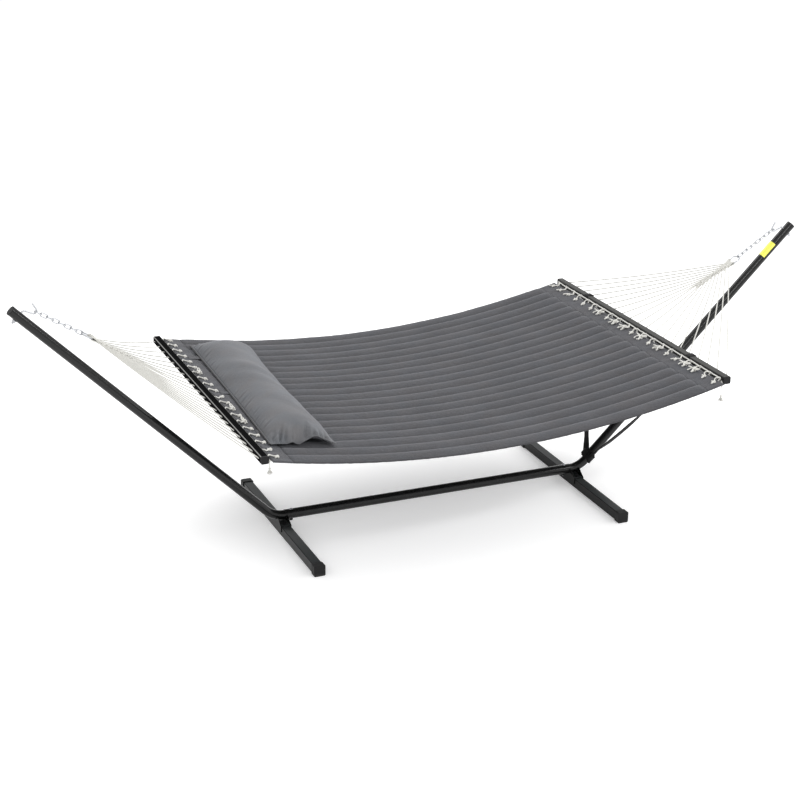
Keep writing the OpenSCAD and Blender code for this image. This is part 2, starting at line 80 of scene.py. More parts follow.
# --- Studio: camera, floor and light ---------------------------------------------------
# A long lens looks down at the hammock from beside its head end. The floor is plain and
# pale; one wide soft light stands behind it, a long strip in front and a panel at its side.
eye = Vector((-2.8036, -6.2836, 3.0868))
turn, tip, roll = 0.4117, 0.3630, 0.0137
ahead = Vector((math.cos(tip) * math.sin(turn), math.cos(tip) * math.cos(turn), -math.sin(tip)))
level = Vector((math.cos(turn), -math.sin(turn), 0))
over = level.cross(ahead)
camera_x = level * math.cos(roll) + over * math.sin(roll)
camera_y = over * math.cos(roll) - level * math.sin(roll)
camera = placed("camera", bpy.data.cameras.new("camera"))
camera_turn = Matrix((camera_x, camera_y, -ahead)).transposed().to_4x4()
camera.matrix_world = Matrix.Translation(eye) @ camera_turn
camera.data.lens, camera.data.sensor_width = 80.53, 36
camera.data.shift_x, camera.data.shift_y = -0.0243, 0.0
camera.data.clip_end = 60
bpy.context.scene.camera = camera
bpy.context.scene.view_settings.view_transform = "Standard"

room = bpy.context.scene.world or bpy.data.worlds.new("room")
bpy.context.scene.world = room
room.use_nodes = True
backdrop = room.node_tree.nodes["Background"].inputs
backdrop["Color"].default_value = (1, 1, 1, 1)
backdrop["Strength"].default_value = 1.05


def soft_light(name, place, towards, size, watts):
    lamp = bpy.data.lights.new(name, "AREA")
    lamp.shape, lamp.size, lamp.size_y, lamp.energy = "RECTANGLE", *size, watts
    aim = (Vector(towards) - Vector(place)).to_track_quat("-Z", "Y").to_matrix().to_4x4()
    placed(name, lamp).matrix_world = Matrix.Translation(place) @ aim


soft_light("over_light", (0.2, 2.9, 4.0), (0, 0.1, 0.5), (4.0, 1.6), 75)
soft_light("right_light", (4.6, -2.2, 2.0), (-1.2, 0, 0.5), (1.2, 1.2), 24)
soft_light("front_strip", (0.9, -3.4, 3.0), (0, 0, 0.3), (5.0, 0.22), 70)

floor_mesh = bpy.data.meshes.new("floor")
floor_mesh.from_pydata([(-14, -14, 0), (14, -14, 0), (14, 14, 0), (-14, 14, 0)], [], [(0, 1, 2, 3)])
floor = placed("floor", floor_mesh)


class Value:
    """A shader socket that takes part in sums, products and comparisons."""

    def __init__(self, finish, socket):
        self.finish, self.socket = finish, socket

    def of(self, output):
        return Value(self.finish, self.socket.node.outputs[output])

    def __add__(self, other):
        return self.finish.math("ADD", self, other)

    def __sub__(self, other):
        return self.finish.math("SUBTRACT", self, other)

    def __rsub__(self, other):
        return self.finish.math("SUBTRACT", other, self)

    def __mul__(self, other):
        return self.finish.math("MULTIPLY", self, other)

    def __truediv__(self, other):
        return self.finish.math("DIVIDE", self, other)

    def __abs__(self):
        return self.finish.math("ABSOLUTE", self)

    __radd__, __rmul__ = __add__, __mul__


class Finish:
    """A material on one Principled shader, with its uniform values set on the shader itself."""

    def __init__(self, name, **uniform):
        self.material = bpy.data.materials.new(name)
        self.material.use_nodes = True
        self.tree = self.material.node_tree
        self.shader = self.tree.nodes["Principled BSDF"]
        for socket, value in uniform.items():
            self.shader.inputs[socket.replace("_", " ")].default_value = value

    def node(self, kind, settings=None, sockets=None):
        made = self.tree.nodes.new(kind)
        for key, value in (settings or {}).items():
            if key == "stops":
                ramp = made.color_ramp
                while len(ramp.elements) < len(value):
                    ramp.elements.new(1)
                for element, (place, shade) in zip(ramp.elements, value):
                    element.position, element.color = place, (*shade, 1)
            else:
                setattr(made, key, value)
        for key, value in (sockets or {}).items():
            self.feed(made.inputs[key], value)
        return Value(self, next(o for o in made.outputs if o.enabled))

    def feed(self, socket, value):
        if isinstance(value, Value):
            self.tree.links.new(value.socket, socket)
        elif socket.type == "RGBA" and len(value) == 3:
            socket.default_value = (*value, 1)
        else:
            socket.default_value = value

    def math(self, operation, *terms):
        return self.node("ShaderNodeMath", {"operation": operation}, dict(enumerate(terms)))

    def sine(self, phase):
        return self.math("SINE", phase * (2 * math.pi))

    def clamp(self, value, low, high):
        """0 below low, 1 above high, smooth between them."""
        return self.node("ShaderNodeMapRange", {"interpolation_type": "SMOOTHSTEP"},
                         {"Value": value, "From Min": low, "From Max": high})

    def place(self, scale=(1, 1, 1)):
        """The piece's own coordinates, in metres, times scale."""
        own = self.node("ShaderNodeTexCoord").of("Object")
        return self.node("ShaderNodeMapping", None, {"Vector": own, "Scale": scale})

    def noise(self, where, scale, detail=3.0, rough=0.55):
        return self.node("ShaderNodeTexNoise", None,
                         {"Vector": where, "Scale": scale, "Detail": detail, "Roughness": rough})

    def split(self, vector):
        axes = self.node("ShaderNodeSeparateXYZ", None, {"Vector": vector})
        return axes.of("X"), axes.of("Y"), axes.of("Z")

    def shades(self, amount, *stops):
        return self.node("ShaderNodeValToRGB", {"stops": stops}, {"Fac": amount})

    def blend(self, amount, first, second):
        mixed = self.tree.nodes.new("ShaderNodeMix")
        mixed.data_type = "RGBA"
        for key, value in (("Factor_Float", amount), ("A_Color", first), ("B_Color", second)):
            self.feed(next(i for i in mixed.inputs if i.identifier == key), value)
        return Value(self, next(o for o in mixed.outputs if o.identifier == "Result_Color"))

    def bump(self, height, depth, under=None):
        sockets = {"Height": height, "Strength": 1.0, "Distance": depth}
        if under:
            sockets["Normal"] = under
        return self.node("ShaderNodeBump", None, sockets)

    def use(self, **links):
        for socket, value in links.items():
            self.feed(self.shader.inputs[socket.replace("_", " ")], value)
        return self.material


paper = Finish("pale_floor", Base_Color=(0.93, 0.93, 0.93, 1), Roughness=0.9,
               Specular_IOR_Level=0.0, Emission_Color=(1, 1, 1, 1), Emission_Strength=0.28)
floor_mesh.materials.append(paper.use(Base_Color=paper.shades(
    paper.noise(paper.place(), 0.6), (0.0, (0.925, 0.925, 0.925)), (1.0, (0.935, 0.935, 0.935)))))

# --- Rope: the cord of the fans, the ties and the tails --------------------------------
# Soft white polyester cord, braided over a core. Every run is a swept curve: one tree
# smooths the run, sweeps a round section along it and notes how the braid lies.


def socket_id(tree, name):
    return next(i.identifier for i in tree.interface.items_tree if i.name == name)


def new_tree(name, *inputs):
    tree = bpy.data.node_groups.new(name, "GeometryNodeTree")
    for label, kind, value in (("Geometry", "NodeSocketGeometry", None), *inputs):
        made = tree.interface.new_socket(label, in_out="INPUT", socket_type=kind)
        if value is not None:
            made.default_value = value
    tree.interface.new_socket("Geometry", in_out="OUTPUT", socket_type="NodeSocketGeometry")
    return tree


def geo(tree, kind, settings=None, **sockets):
    """Adds a geometry node; a socket takes a value or another node's output."""
    made = tree.nodes.new(kind)
    for key, value in (settings or {}).items():
        setattr(made, key, value)
    for key, value in sockets.items():
        socket = next(i for i in made.inputs if i.enabled and i.name == key.replace("_", " "))
        if isinstance(value, bpy.types.NodeSocket):
            tree.links.new(value, socket)
        else:
            socket.default_value = value
    return made


def sweep_tree():
    tree = new_tree("sweep_cord", ("Diameter", "NodeSocketFloat", 0.005),
                    ("Step", "NodeSocketFloat", 0.005), ("Sides", "NodeSocketInt", 8),
                    ("Finish", "NodeSocketMaterial", None))
    given = tree.nodes.new("NodeGroupInput").outputs
    smooth = geo(tree, "GeometryNodeCurveSplineType", {"spline_type": "CATMULL_ROM"},
                 Curve=given["Geometry"])
    cut = geo(tree, "GeometryNodeResampleCurve", {"mode": "LENGTH"},
              Curve=smooth.outputs[0], Length=given["Step"])
    along = geo(tree, "GeometryNodeStoreNamedAttribute", {"data_type": "FLOAT", "domain": "POINT"},
                Geometry=cut.outputs[0], Name="along",
                Value=geo(tree, "GeometryNodeSplineParameter").outputs["Length"])
    sides = geo(tree, "FunctionNodeIntegerMath", {"operation": "ADD"})
    tree.links.new(given["Sides"], sides.inputs[0])
    sides.inputs[1].default_value = 1
    half = geo(tree, "ShaderNodeMath", {"operation": "MULTIPLY"})
    tree.links.new(given["Diameter"], half.inputs[0])
    half.inputs[1].default_value = 0.5
    round_section = geo(tree, "GeometryNodeCurveArc", {"mode": "RADIUS"},
                        Resolution=sides.outputs[0], Radius=half.outputs[0],
                        Start_Angle=0.0, Sweep_Angle=2 * math.pi)
    section = geo(tree, "GeometryNodeStoreNamedAttribute", {"data_type": "FLOAT", "domain": "POINT"},
                  Geometry=round_section.outputs[0], Name="around",
                  Value=geo(tree, "GeometryNodeSplineParameter").outputs["Factor"])
    ends = geo(tree, "GeometryNodeCurveEndpointSelection")
    taper = geo(tree, "GeometryNodeSwitch", {"input_type": "FLOAT"},
                Switch=ends.outputs[0], **{"False": 1.0, "True": 0.0})
    swept = geo(tree, "GeometryNodeCurveToMesh", Curve=along.outputs[0],
                Profile_Curve=section.outputs[0], Scale=taper.outputs[0])
    names = [geo(tree, "GeometryNodeInputNamedAttribute", {"data_type": "FLOAT"}, Name=n)
             for n in ("around", "along")]
    pair = geo(tree, "ShaderNodeCombineXYZ", X=names[0].outputs[0], Y=names[1].outputs[0])
    lay = geo(tree, "GeometryNodeStoreNamedAttribute", {"data_type": "FLOAT2", "domain": "CORNER"},
              Geometry=swept.outputs[0], Name="lay", Value=pair.outputs[0])
    closed = geo(tree, "GeometryNodeMergeByDistance", Geometry=lay.outputs[0], Distance=0.00002)
    soft = geo(tree, "GeometryNodeSetShadeSmooth", Geometry=closed.outputs[0])
    real = geo(tree, "GeometryNodeRealizeInstances", Geometry=soft.outputs[0])
    painted = geo(tree, "GeometryNodeSetMaterial", Geometry=real.outputs[0], Material=given["Finish"])
    tree.links.new(painted.outputs[0], tree.nodes.new("NodeGroupOutput").inputs[0])
    return tree


cord_tree = sweep_tree()


def run_tree(source, tree, values, name):
    """Puts tree on source with values, keeps the mesh that comes out, and drops the source."""
    modifier = source.modifiers.new("build", "NODES")
    modifier.node_group = tree
    for label, value in values.items():
        modifier[socket_id(tree, label)] = value
    graph = bpy.context.evaluated_depsgraph_get()
    graph.update()
    mesh = bpy.data.meshes.new_from_object(source.evaluated_get(graph), depsgraph=graph)
    source.modifiers.remove(modifier)
    bpy.data.objects.remove(source)
    mesh.name = name
    return placed(name, mesh)


def curve_source(runs):
    data = bpy.data.curves.new("runs", "CURVE")
    data.dimensions = "3D"
    for run in runs:
        spline = data.splines.new("POLY")
        spline.points.add(len(run) - 1)
        spline.points.foreach_set("co", [c for p in run for c in (*p, 1.0)])
    return placed("runs", data)


def corded(name, runs, diameter, finish, step=0.005, sides=8):
    return run_tree(curve_source(runs), cord_tree, {
        "Diameter": diameter, "Step": step, "Sides": sides, "Finish": finish}, name)


def rope_finish(name, groove_tone, strand_tone):
    rope = Finish(name, Sheen_Weight=0.25, Sheen_Roughness=0.5)
    u, v, _ = rope.split(rope.node("ShaderNodeUVMap", {"uv_map": "lay"}))
    turns, braid = 4.0, 0.010
    one = rope.sine(u * turns + v / braid)
    two = rope.sine(u * turns - v / braid)
    strands = rope.math("MAXIMUM", one, two)
    fibres = rope.sine(u * turns * 5 + v / (braid / 7))
    fuzz = rope.noise(rope.place(), 900, 2.0)
    dirt = rope.noise(rope.place(), 14, 4.0)
    # The braid's grooves are painted darker than its strands: painted shade in the recesses.
    groove_shade = rope.clamp(strands, 0.05, 0.75)
    clean = rope.blend(groove_shade, groove_tone, strand_tone)
    height = strands * 0.8 + fibres * 0.1 + fuzz * 0.25
    soiled = rope.blend(rope.clamp(dirt, 0.35, 0.8) * 0.22, clean, (0.62, 0.605, 0.55))
    return rope.use(Base_Color=soiled, Roughness=0.82 + 0.1 * fuzz,
                    Normal=rope.bump(height, 0.00035))


white_rope = rope_finish("white_rope", (0.52, 0.51, 0.475), (0.735, 0.73, 0.695))
# The fans take a darker copy of the same cord: painted shade on the hanging runs.
fan_rope_shaded = rope_finish("fan_rope_shaded", (0.43, 0.425, 0.395), (0.63, 0.625, 0.59))

# The lacing cord's two free ends. Each leaves its bar beside the last tie at the near end
# and hangs straight down to a small knot; below the knot the braid has opened into a tuft.
tail_route = [(0, 0, 0), (0.5, -3, 1), (1.5, -6, -2), (2, -8, -8), (2, -8.5, -16), (1.5, -8, -25),
              (0.5, -7.5, -34), (0, -8, -43), (0.5, -8.5, -52), (1, -8.5, -60)]
tail_share = {"left": 0.55, "right": 1}
tail_d = 0.004
tuft_count, tuft_r = 44, 0.0125
pitch = 0.072
rng = np.random.default_rng(11)


def middle(node):
    low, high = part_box(node)
    return (low + high) / 2


def trefoil(centre, size, flat=0.6, spin=0.0):
    """A pulled-tight overhand knot round centre."""
    points = []
    for k in range(25):
        t = 2 * math.pi * k / 24
        x, y = math.sin(t) + 2 * math.sin(2 * t), math.cos(t) - 2 * math.cos(2 * t)
        a, b = x * math.cos(spin) - y * math.sin(spin), x * math.sin(spin) + y * math.cos(spin)
        points.append(centre + Vector((a, b * 0.9, -math.sin(3 * t) * flat * 2.4)) * size / 3)
    return points


for name, s in ENDS.items():
    bar = middle("spreader_bar_" + name)
    exit_at = Vector((bar.x - s * 0.019, -9.5 * pitch - 0.008, bar.z - 0.006))
    path = [exit_at + Vector((x, y, z * tail_share[name])) / 1000 for x, y, z in tail_route]
    length = sum((b - a).length for a, b in zip(path, path[1:]))
    tail = corded("lace_tail_" + name, [path], tail_d, white_rope, step=0.0015, sides=12)
    knot = corded("tail_knot_" + name, [trefoil(path[-1], 0.0042)], 0.0032, white_rope, 0.001, 8)
    strands = []
    for k in range(tuft_count):
        a = 2.4 * k
        spread = tuft_r * math.sqrt((k + 0.5) / tuft_count)
        out = Vector((math.cos(a), math.sin(a), 0))
        reach = (0.017 if s < 0 else 0.020) + 0.004 * rng.random()
        drop = Vector((0, 0, -reach))
        strands.append([path[-1] + out * 0.0008, path[-1] + out * spread * 0.45 + drop / 2,
                        path[-1] + out * spread + drop])
    tuft = corded("tail_tuft_" + name, strands, 0.0014, white_rope, 0.003, 5)
    for piece in (tail, knot, tuft):
        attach(piece, "hammock")
    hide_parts("rope_tail_" + name)

# --- Base tube, arms and feet: powder-coated steel -------------------------------------
# Bent round tube slides into a straight base tube and is bolted on two square cross feet
# with pressed saddles. The steel is coated in satin black powder with a faint orange peel.


def powder_finish(name, shine, dark):
    coat = Finish(name, Specular_IOR_Level=shine)
    where = coat.place()
    peel = coat.noise(where, 420, 2.0)
    cloud = coat.noise(where, 5, 4.0)
    dust = coat.noise(where, 38, 5.0, 0.7)
    scuffs = coat.noise(coat.place((3, 40, 40)), 8, 4.0, 0.65)
    scuff = coat.clamp(scuffs, 0.64, 0.72) * coat.clamp(cloud, 0.45, 0.7)
    height = coat.split(coat.node("ShaderNodeTexCoord").of("Object"))[2]
    low_down = 1 - coat.clamp(height, 0.01, 0.16)
    up = coat.split(coat.node("ShaderNodeNewGeometry").of("Normal"))[2]
    # The upward faces of the feet are painted a lighter blue-grey here: a painted reflection of the sky on
    # their tops.
    settled = coat.clamp(up, 0.9, 1.0) * (1 - coat.clamp(height, 0.046, 0.048)) * (0.55 + 0.45 * cloud)
    grey = coat.blend(coat.clamp(dust, 0.4, 0.8) * (0.16 + 0.30 * low_down),
                      dark, (0.026, 0.025, 0.024))
    worn = coat.blend(scuff * 0.35, grey, (0.035, 0.035, 0.036))
    return coat.use(Base_Color=coat.blend(settled, worn, (0.047, 0.051, 0.052)),
                    Roughness=0.15 + 0.06 * cloud + 0.10 * coat.clamp(dust, 0.45, 0.8) + 0.15 * scuff,
                    Normal=coat.bump(peel, 0.000005))


def repaint(node, material):
    """A carried-over part keeps its shape and takes a better finish."""
    slots = parts[node].data.materials
    slots.clear()
    slots.append(material)


tube_coat = powder_finish("black_tube_coat", 0.32, (0.0050, 0.0053, 0.0054))
foot_coat = powder_finish("black_foot_coat", 0.08, (0.0040, 0.0044, 0.0044))
for node in ("base_tube", "arm_left", "arm_right"):
    repaint(node, tube_coat)
for node in ("foot_bar_left", "foot_bar_right", "saddle_left", "saddle_right"):
    repaint(node, foot_coat)

# --- End plugs: caps of the feet, arms and bars ----------------------------------------
# Black polyethylene, moulded with a fine spark texture, and rubbed lighter where the feet
# stand on the ground.


def plastic_finish():
    shell = Finish("moulded_plastic", Specular_IOR_Level=0.12)
    where = shell.place()
    grain = shell.noise(where, 1500, 2.0)
    cloud = shell.noise(where, 60, 3.0)
    height = shell.split(shell.node("ShaderNodeTexCoord").of("Object"))[2]
    rub = (1 - shell.clamp(height, 0.0, 0.012)) * shell.clamp(cloud, 0.3, 0.7)
    return shell.use(Base_Color=shell.blend(rub * 0.6, (0.0125, 0.0125, 0.013), (0.075, 0.073, 0.07)),
                     Roughness=0.42 + 0.14 * grain + 0.2 * rub,
                     Normal=shell.bump(grain, 0.00008))


moulded = plastic_finish()
for node in ("arm_cap_left", "arm_cap_right", "foot_cap_left_front", "foot_cap_left_back",
             "foot_cap_right_front", "foot_cap_right_back", "bar_caps_left", "bar_caps_right"):
    repaint(node, moulded)

# --- Bolts, nuts, hooks, chains, rings and eyelets: zinc-plated steel -------------------
# Bright zinc over rolled steel: slightly blue, cloudy, with darker grime in patches.


def zinc_finish():
    plate = Finish("zinc_plate", Metallic=1.0)
    where = plate.place()
    cloud = plate.noise(where, 90, 4.0, 0.65)
    fine = plate.noise(where, 1100, 2.0)
    grime = plate.clamp(plate.noise(where, 240, 5.0, 0.7), 0.55, 0.75)
    bright = plate.shades(cloud, (0.25, (0.38, 0.39, 0.41)), (0.75, (0.56, 0.57, 0.59)))
    return plate.use(Base_Color=plate.blend(grime * 0.25, bright, (0.30, 0.29, 0.28)),
                     Roughness=0.26 + 0.16 * cloud + 0.2 * grime,
                     Normal=plate.bump(fine, 0.00005))


zinc_plate = zinc_finish()
for node in ("joint_bolts", "hook_left", "hook_right",
             "hook_nuts", "hook_washers", "chain_left", "chain_right", "ring_left", "ring_right",
             "grommets_left", "grommets_right"):
    repaint(node, zinc_plate)

# The feet's bolts and nuts and the joint nuts are zinc with a black passivate, to match the
# saddles they stand on.


def black_zinc_finish():
    dark = Finish("black_zinc", Metallic=0.8)
    patch = dark.noise(dark.place(), 130, 4.0, 0.65)
    return dark.use(Base_Color=dark.blend(patch, (0.016, 0.016, 0.018), (0.032, 0.032, 0.034)),
                    Roughness=0.36 + 0.2 * patch,
                    Normal=dark.bump(dark.noise(dark.place(), 1100, 2.0), 0.00005))


black_zinc = black_zinc_finish()
for node in ("foot_bolts", "foot_nuts", "joint_nuts"):
    repaint(node, black_zinc)

# Rolled threads show where the bolts and hooks stand out of their nuts: a fine helix of
# crests wound on each bare end.


def helix(foot, axis, radius, height, pitch_m):
    axis = Vector(axis).normalized()
    u = axis.orthogonal().normalized()
    w = axis.cross(u)
    count = max(8, int(height / pitch_m * 16))
    return [Vector(foot) + axis * (height * k / count) +
            (u * math.cos(k * math.pi / 8) + w * math.sin(k * math.pi / 8)) * radius
            for k in range(count + 1)]


thread_pitch, bolt_r = 0.00125, 0.0039
nut_mid_x, nut_mid_y = 0.0075, 0.0065
low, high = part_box("foot_nuts")
dark_threads = [helix((x, y, high.z + 0.0002), (0, 0, 1), bolt_r, 0.0021, thread_pitch)
                for x in (low.x + nut_mid_x, high.x - nut_mid_x)
                for y in (low.y + nut_mid_y, high.y - nut_mid_y)]
low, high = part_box("joint_nuts")
dark_threads += [helix((x, 0, low.z - 0.0002), (0, 0, -1), bolt_r, 0.0026, thread_pitch)
                 for x in (low.x + nut_mid_x, high.x - nut_mid_x)]
threads = []
slope = 0.7833
for s in (-1, 1):
    out = Vector((s * math.sin(slope), 0, -math.cos(slope)))
    foot = Vector((s * 1.6652, 0, 1.0313)) + out * 0.0273
    threads.append(helix(foot, out, 0.0036, 0.0062, thread_pitch))
for name, runs, finish in (("thread_crests", threads, zinc_plate),
                           ("foot_thread_crests", dark_threads, black_zinc)):
    crests = corded(name, runs, 0.0007, finish, 0.001, 5)
    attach(crests, "stand")

# --- Sticker on the foot-end arm --------------------------------------------------------
# Plain yellow vinyl wrapped round the tube, with a slightly soiled surface.
vinyl = Finish("yellow_vinyl", Coat_Weight=0.3, Coat_Roughness=0.2)
soil = vinyl.noise(vinyl.place(), 55, 5.0, 0.65)
repaint("label", vinyl.use(
    Base_Color=vinyl.blend(vinyl.clamp(soil, 0.45, 0.85) * 0.35,
                           (0.70, 0.71, 0.080), (0.56, 0.57, 0.10)),
    Roughness=0.36 + 0.15 * soil, Normal=vinyl.bump(vinyl.noise(vinyl.place(), 300, 2.0), 0.00008)))

# --- Suspension: ten long cords at each end ----------------------------------------------
# Each cord comes through one side of the bar, runs up to the woven clew, goes round the
# ring and back down to the other side. The clew is plaited over the cords below the ring.
rope_d = 0.005
chain_slope = math.radians(32)
plait_rows = 15
for name, s in ENDS.items():
    ring, bar = middle("ring_" + name), middle("spreader_bar_" + name)
    hole = Vector((bar.x + s * 0.0135, 0, bar.z))
    fall = Vector((hole.x - ring.x, 0, hole.z - ring.z)).normalized()
    up = Vector((-fall.z * s, 0, fall.x * s))
    up = up if up.z > 0 else -up
    across = Vector((0, 1, 0))
    chain_fall = Vector((-s * math.cos(chain_slope), 0, -math.sin(chain_slope)))
    chain_up = Vector((s * chain_fall.z, 0, -s * chain_fall.x))
    chain_up = chain_up if chain_up.z > 0 else -chain_up
    cords = []
    for out in range(10):
        station = 0.0375 + 0.018 * (9 - out)
        edge = 0.0105 - 0.00045 * (9 - out)
        y_ring = (1 if out % 2 else -1) * (out + 0.5) * 0.00205
        reach = math.sqrt(0.0235 ** 2 - y_ring ** 2)
        wire = ring + chain_fall * reach + across * y_ring
        halves = []
        for side in (-1, 1):
            lift = up * (0.0024 * side)
            holes = Vector((hole.x, side * (out + 0.5) * pitch, hole.z))
            leave = ring + fall * station + across * (side * edge) + lift * 0.5
            leg = [holes + (holes - leave).normalized() * 0.004, holes]
            for k in range(1, 9):
                t = k / 9
                sag = 0.010 * 4 * t * (1 - t) * (0.55 + 0.045 * out)
                leg.append(holes.lerp(leave, t) - Vector((0, 0, sag)))
            leg.append(leave)
            inside = station - 0.046
            for k in range(1, int(inside / 0.009) + 1):
                t = k * 0.009 / max(inside, 0.009)
                p = ring + fall * (station - k * 0.009)
                width = edge * (1 - t) + abs(y_ring) * t
                wave = 0.0013 * math.sin(math.pi * (k + out))
                p += across * (side * width * (1 - t) + y_ring * t) + lift + up * wave
                leg.append(p)
            leg.append(wire + chain_fall * 0.011 + chain_up * (0.0052 * side))
            leg.append(wire + chain_fall * 0.0035 + chain_up * (0.0062 * side))
            halves.append(leg)
        top = wire - chain_fall * 0.0060
        cords.append(halves[1] + [top] + halves[0][::-1])
    fan = corded("suspension_cords_" + name, cords, rope_d, fan_rope_shaded, 0.007, 8)
    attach(fan, "hammock")
    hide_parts("rope_fan_" + name)

    plait = []
    for k in range(plait_rows * 6 + 1):
        t = k / (plait_rows * 6)
        far = 0.036 + 0.172 * t
        wide = 0.0215 * (1 - t) + 0.0068 * t
        swing = math.sin(math.pi * k / 6)
        over_under = 0.0052 * math.cos(math.pi * k / 3 + math.pi * (k // 6))
        plait.append(ring + fall * far + across * (wide * swing) + up * over_under)
    other = [p + across * (-2 * (p - ring).y) + fall * 0.0045 for p in plait]
    clew = corded("plaited_clew_" + name, [plait, other], 0.0046, white_rope, 0.004, 8)
    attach(clew, "hammock")
    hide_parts("clew_" + name)

# --- Spreader bars ------------------------------------------------------------------------
# Square tube with round corners, brush-painted satin black, with a few dust specks. The round long
# edges of the head-end bar carry a painted highlight, and the upper face of the foot-end bar is
# painted lighter as a painted reflection of the sky.


def bar_finish(name, dust, shine, rub):
    paint = Finish("bar_paint_" + name, Specular_IOR_Level=shine)
    brush = paint.noise(paint.place((90, 3, 90)), 6, 4.0, 0.6)
    cloud = paint.noise(paint.place(), 9, 4.0)
    speck = paint.noise(paint.place(), 260, 3.0, 0.7)
    side, _, up = paint.split(paint.node("ShaderNodeNewGeometry").of("Normal"))
    top = paint.clamp(up, 0.55, 0.95)
    # Painted reflection: the upper face is painted lighter, scaled by dust, for the sky it reflects. The
    # specks are dust.
    top_sheen_and_dust_specks = top * (0.45 + 0.4 * cloud) * dust + paint.clamp(speck, 0.62, 0.75) * 0.12
    # Painted highlight: the round long edges between the upper and side faces are painted light, scaled by
    # rub.
    edge_highlight = paint.clamp(abs(side) * up, 0.30, 0.44) * rub
    painted = paint.blend(top_sheen_and_dust_specks, (0.0062, 0.0062, 0.0065), (0.060, 0.059, 0.055))
    return paint.use(Base_Color=paint.blend(edge_highlight, painted, (0.34, 0.34, 0.33)),
                     Roughness=0.36 + 0.16 * brush + 0.10 * top,
                     Normal=paint.bump(brush * 0.6 + speck * 0.4, 0.0001))


# dust here sets the painted sky reflection on the upper face, and rub the painted edge highlight.
for name, dust, shine, rub in (("left", 0.0, 0.0, 0.8), ("right", 0.9, 0.25, 0.0)):
    repaint("spreader_bar_" + name, bar_finish(name, dust, shine, rub))

# --- Quilted bed and its hems ---------------------------------------------------------------
# Two layers of woven fabric over batting, sewn together along straight lengthwise seams
# into twenty channels. Each end is folded into a plain double hem that holds the eyelets.
bed_low, bed_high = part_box("bed")
bed_t = 0.012
lowest = bed_low.z + bed_t / 2
half_bed = bed_high.y
channels = 20
channel_w = 2 * half_bed / channels


def bed_z(x):
    """Height of the bed's middle surface."""
    return lowest + 0.12 * (x + 0.1) ** 2


def bed_up(x):
    """The upward direction of the bed's surface, as its x and z parts."""
    tilt = 0.24 * (x + 0.1)
    size = np.sqrt(1 + tilt ** 2)
    return -tilt / size, 1 / size


def ripple(a, seed, scale):
    """Smooth uneven wave along a, about -1 to 1, different for each seed."""
    wave = np.random.default_rng(seed)
    total = np.zeros_like(a)
    for k in range(6):
        pace = 0.6 + 0.35 * k + 0.2 * wave.random()
        total += np.sin(a / scale * pace + 6.28 * wave.random()) / (1 + 0.35 * k)
    return total / 2.4


def woven(name, dark, light, thread, glow, depth, seam=0.0):
    """Outdoor fabric: flecked plain weave with a soft sheen. If seam is set, each channel between seams
    this far apart gets painted shade at its seams and a painted highlight near its far crest.
    """
    cloth = Finish(name, Sheen_Weight=glow, Sheen_Roughness=0.45, Sheen_Tint=(0.85, 0.88, 0.95, 1))
    where = cloth.place()
    x, y, _ = cloth.split(where)
    warp = abs(cloth.sine(x / thread))
    weft = abs(cloth.sine(y / thread))
    over = cloth.math("GREATER_THAN", cloth.sine((x + y) / thread) * cloth.sine((x - y) / thread), 0.0)
    weave = warp * over + weft * (1 - over)
    fleck = cloth.noise(cloth.place((1, 6, 3)), 260, 3.0, 0.65)
    slub = cloth.noise(cloth.place((5, 1, 3)), 120, 3.0, 0.6)
    cloud = cloth.noise(where, 6, 5.0, 0.6)
    tone = cloth.clamp(fleck * 0.4 + slub * 0.35 + cloud * 0.25, 0.32, 0.68)
    colour = cloth.blend(tone, dark, light)
    tint = cloth.shades(cloth.noise(where, 11, 4.0, 0.6),
                        (0.35, (0.97, 1.0, 1.04)), (0.65, (1.04, 1.0, 0.985)))
    toned = cloth.node("ShaderNodeVectorMath", {"operation": "MULTIPLY"}, {0: colour, 1: tint})
    # Painted shade and highlight: each channel is darkened towards its seams and brightened in a thin band
    # near its far crest, where the light falls.
    if seam:
        phase = cloth.math("FRACT", (y + half_bed) / seam)
        seam_shade_and_crest_highlight = ((0.0, 0.66), (0.10, 0.72), (0.40, 0.96), (0.78, 1.0), (0.90, 1.22), (0.96, 1.2),
                 (1.0, 0.68))
        worn = cloth.shades(phase, *((at, (grey,) * 3) for at, grey in seam_shade_and_crest_highlight))
        toned = cloth.node("ShaderNodeVectorMath", {"operation": "MULTIPLY"}, {0: toned, 1: worn})
    fuzz = cloth.noise(where, 2200, 2.0)
    creases = cloth.noise(where, 55, 5.0, 0.6)
    fine = cloth.bump(weave * 0.6 + fuzz * 0.4, 0.00022)
    return cloth.use(Base_Color=toned, Roughness=0.80 + 0.12 * fleck,
                     Normal=cloth.bump(creases, depth, fine))


quilt_cloth = woven("quilt_cloth", (0.033, 0.033, 0.037), (0.068, 0.068, 0.074), 0.0014, 0.15, 0.0026,
                    channel_w)
hem_cloth = woven("hem_cloth", (0.034, 0.034, 0.038), (0.068, 0.068, 0.074), 0.0014, 0.15, 0.0026)
seam_thread = Finish("seam_thread", Sheen_Weight=0.2)
twist = seam_thread.sine(seam_thread.noise(seam_thread.place(), 700, 2.0) * 3)
seam_thread = seam_thread.use(
    Base_Color=seam_thread.blend(twist * 0.5 + 0.5, (0.06, 0.06, 0.065), (0.11, 0.11, 0.118)),
    Roughness=0.7 + 0.1 * twist, Normal=seam_thread.bump(twist, 0.0001))


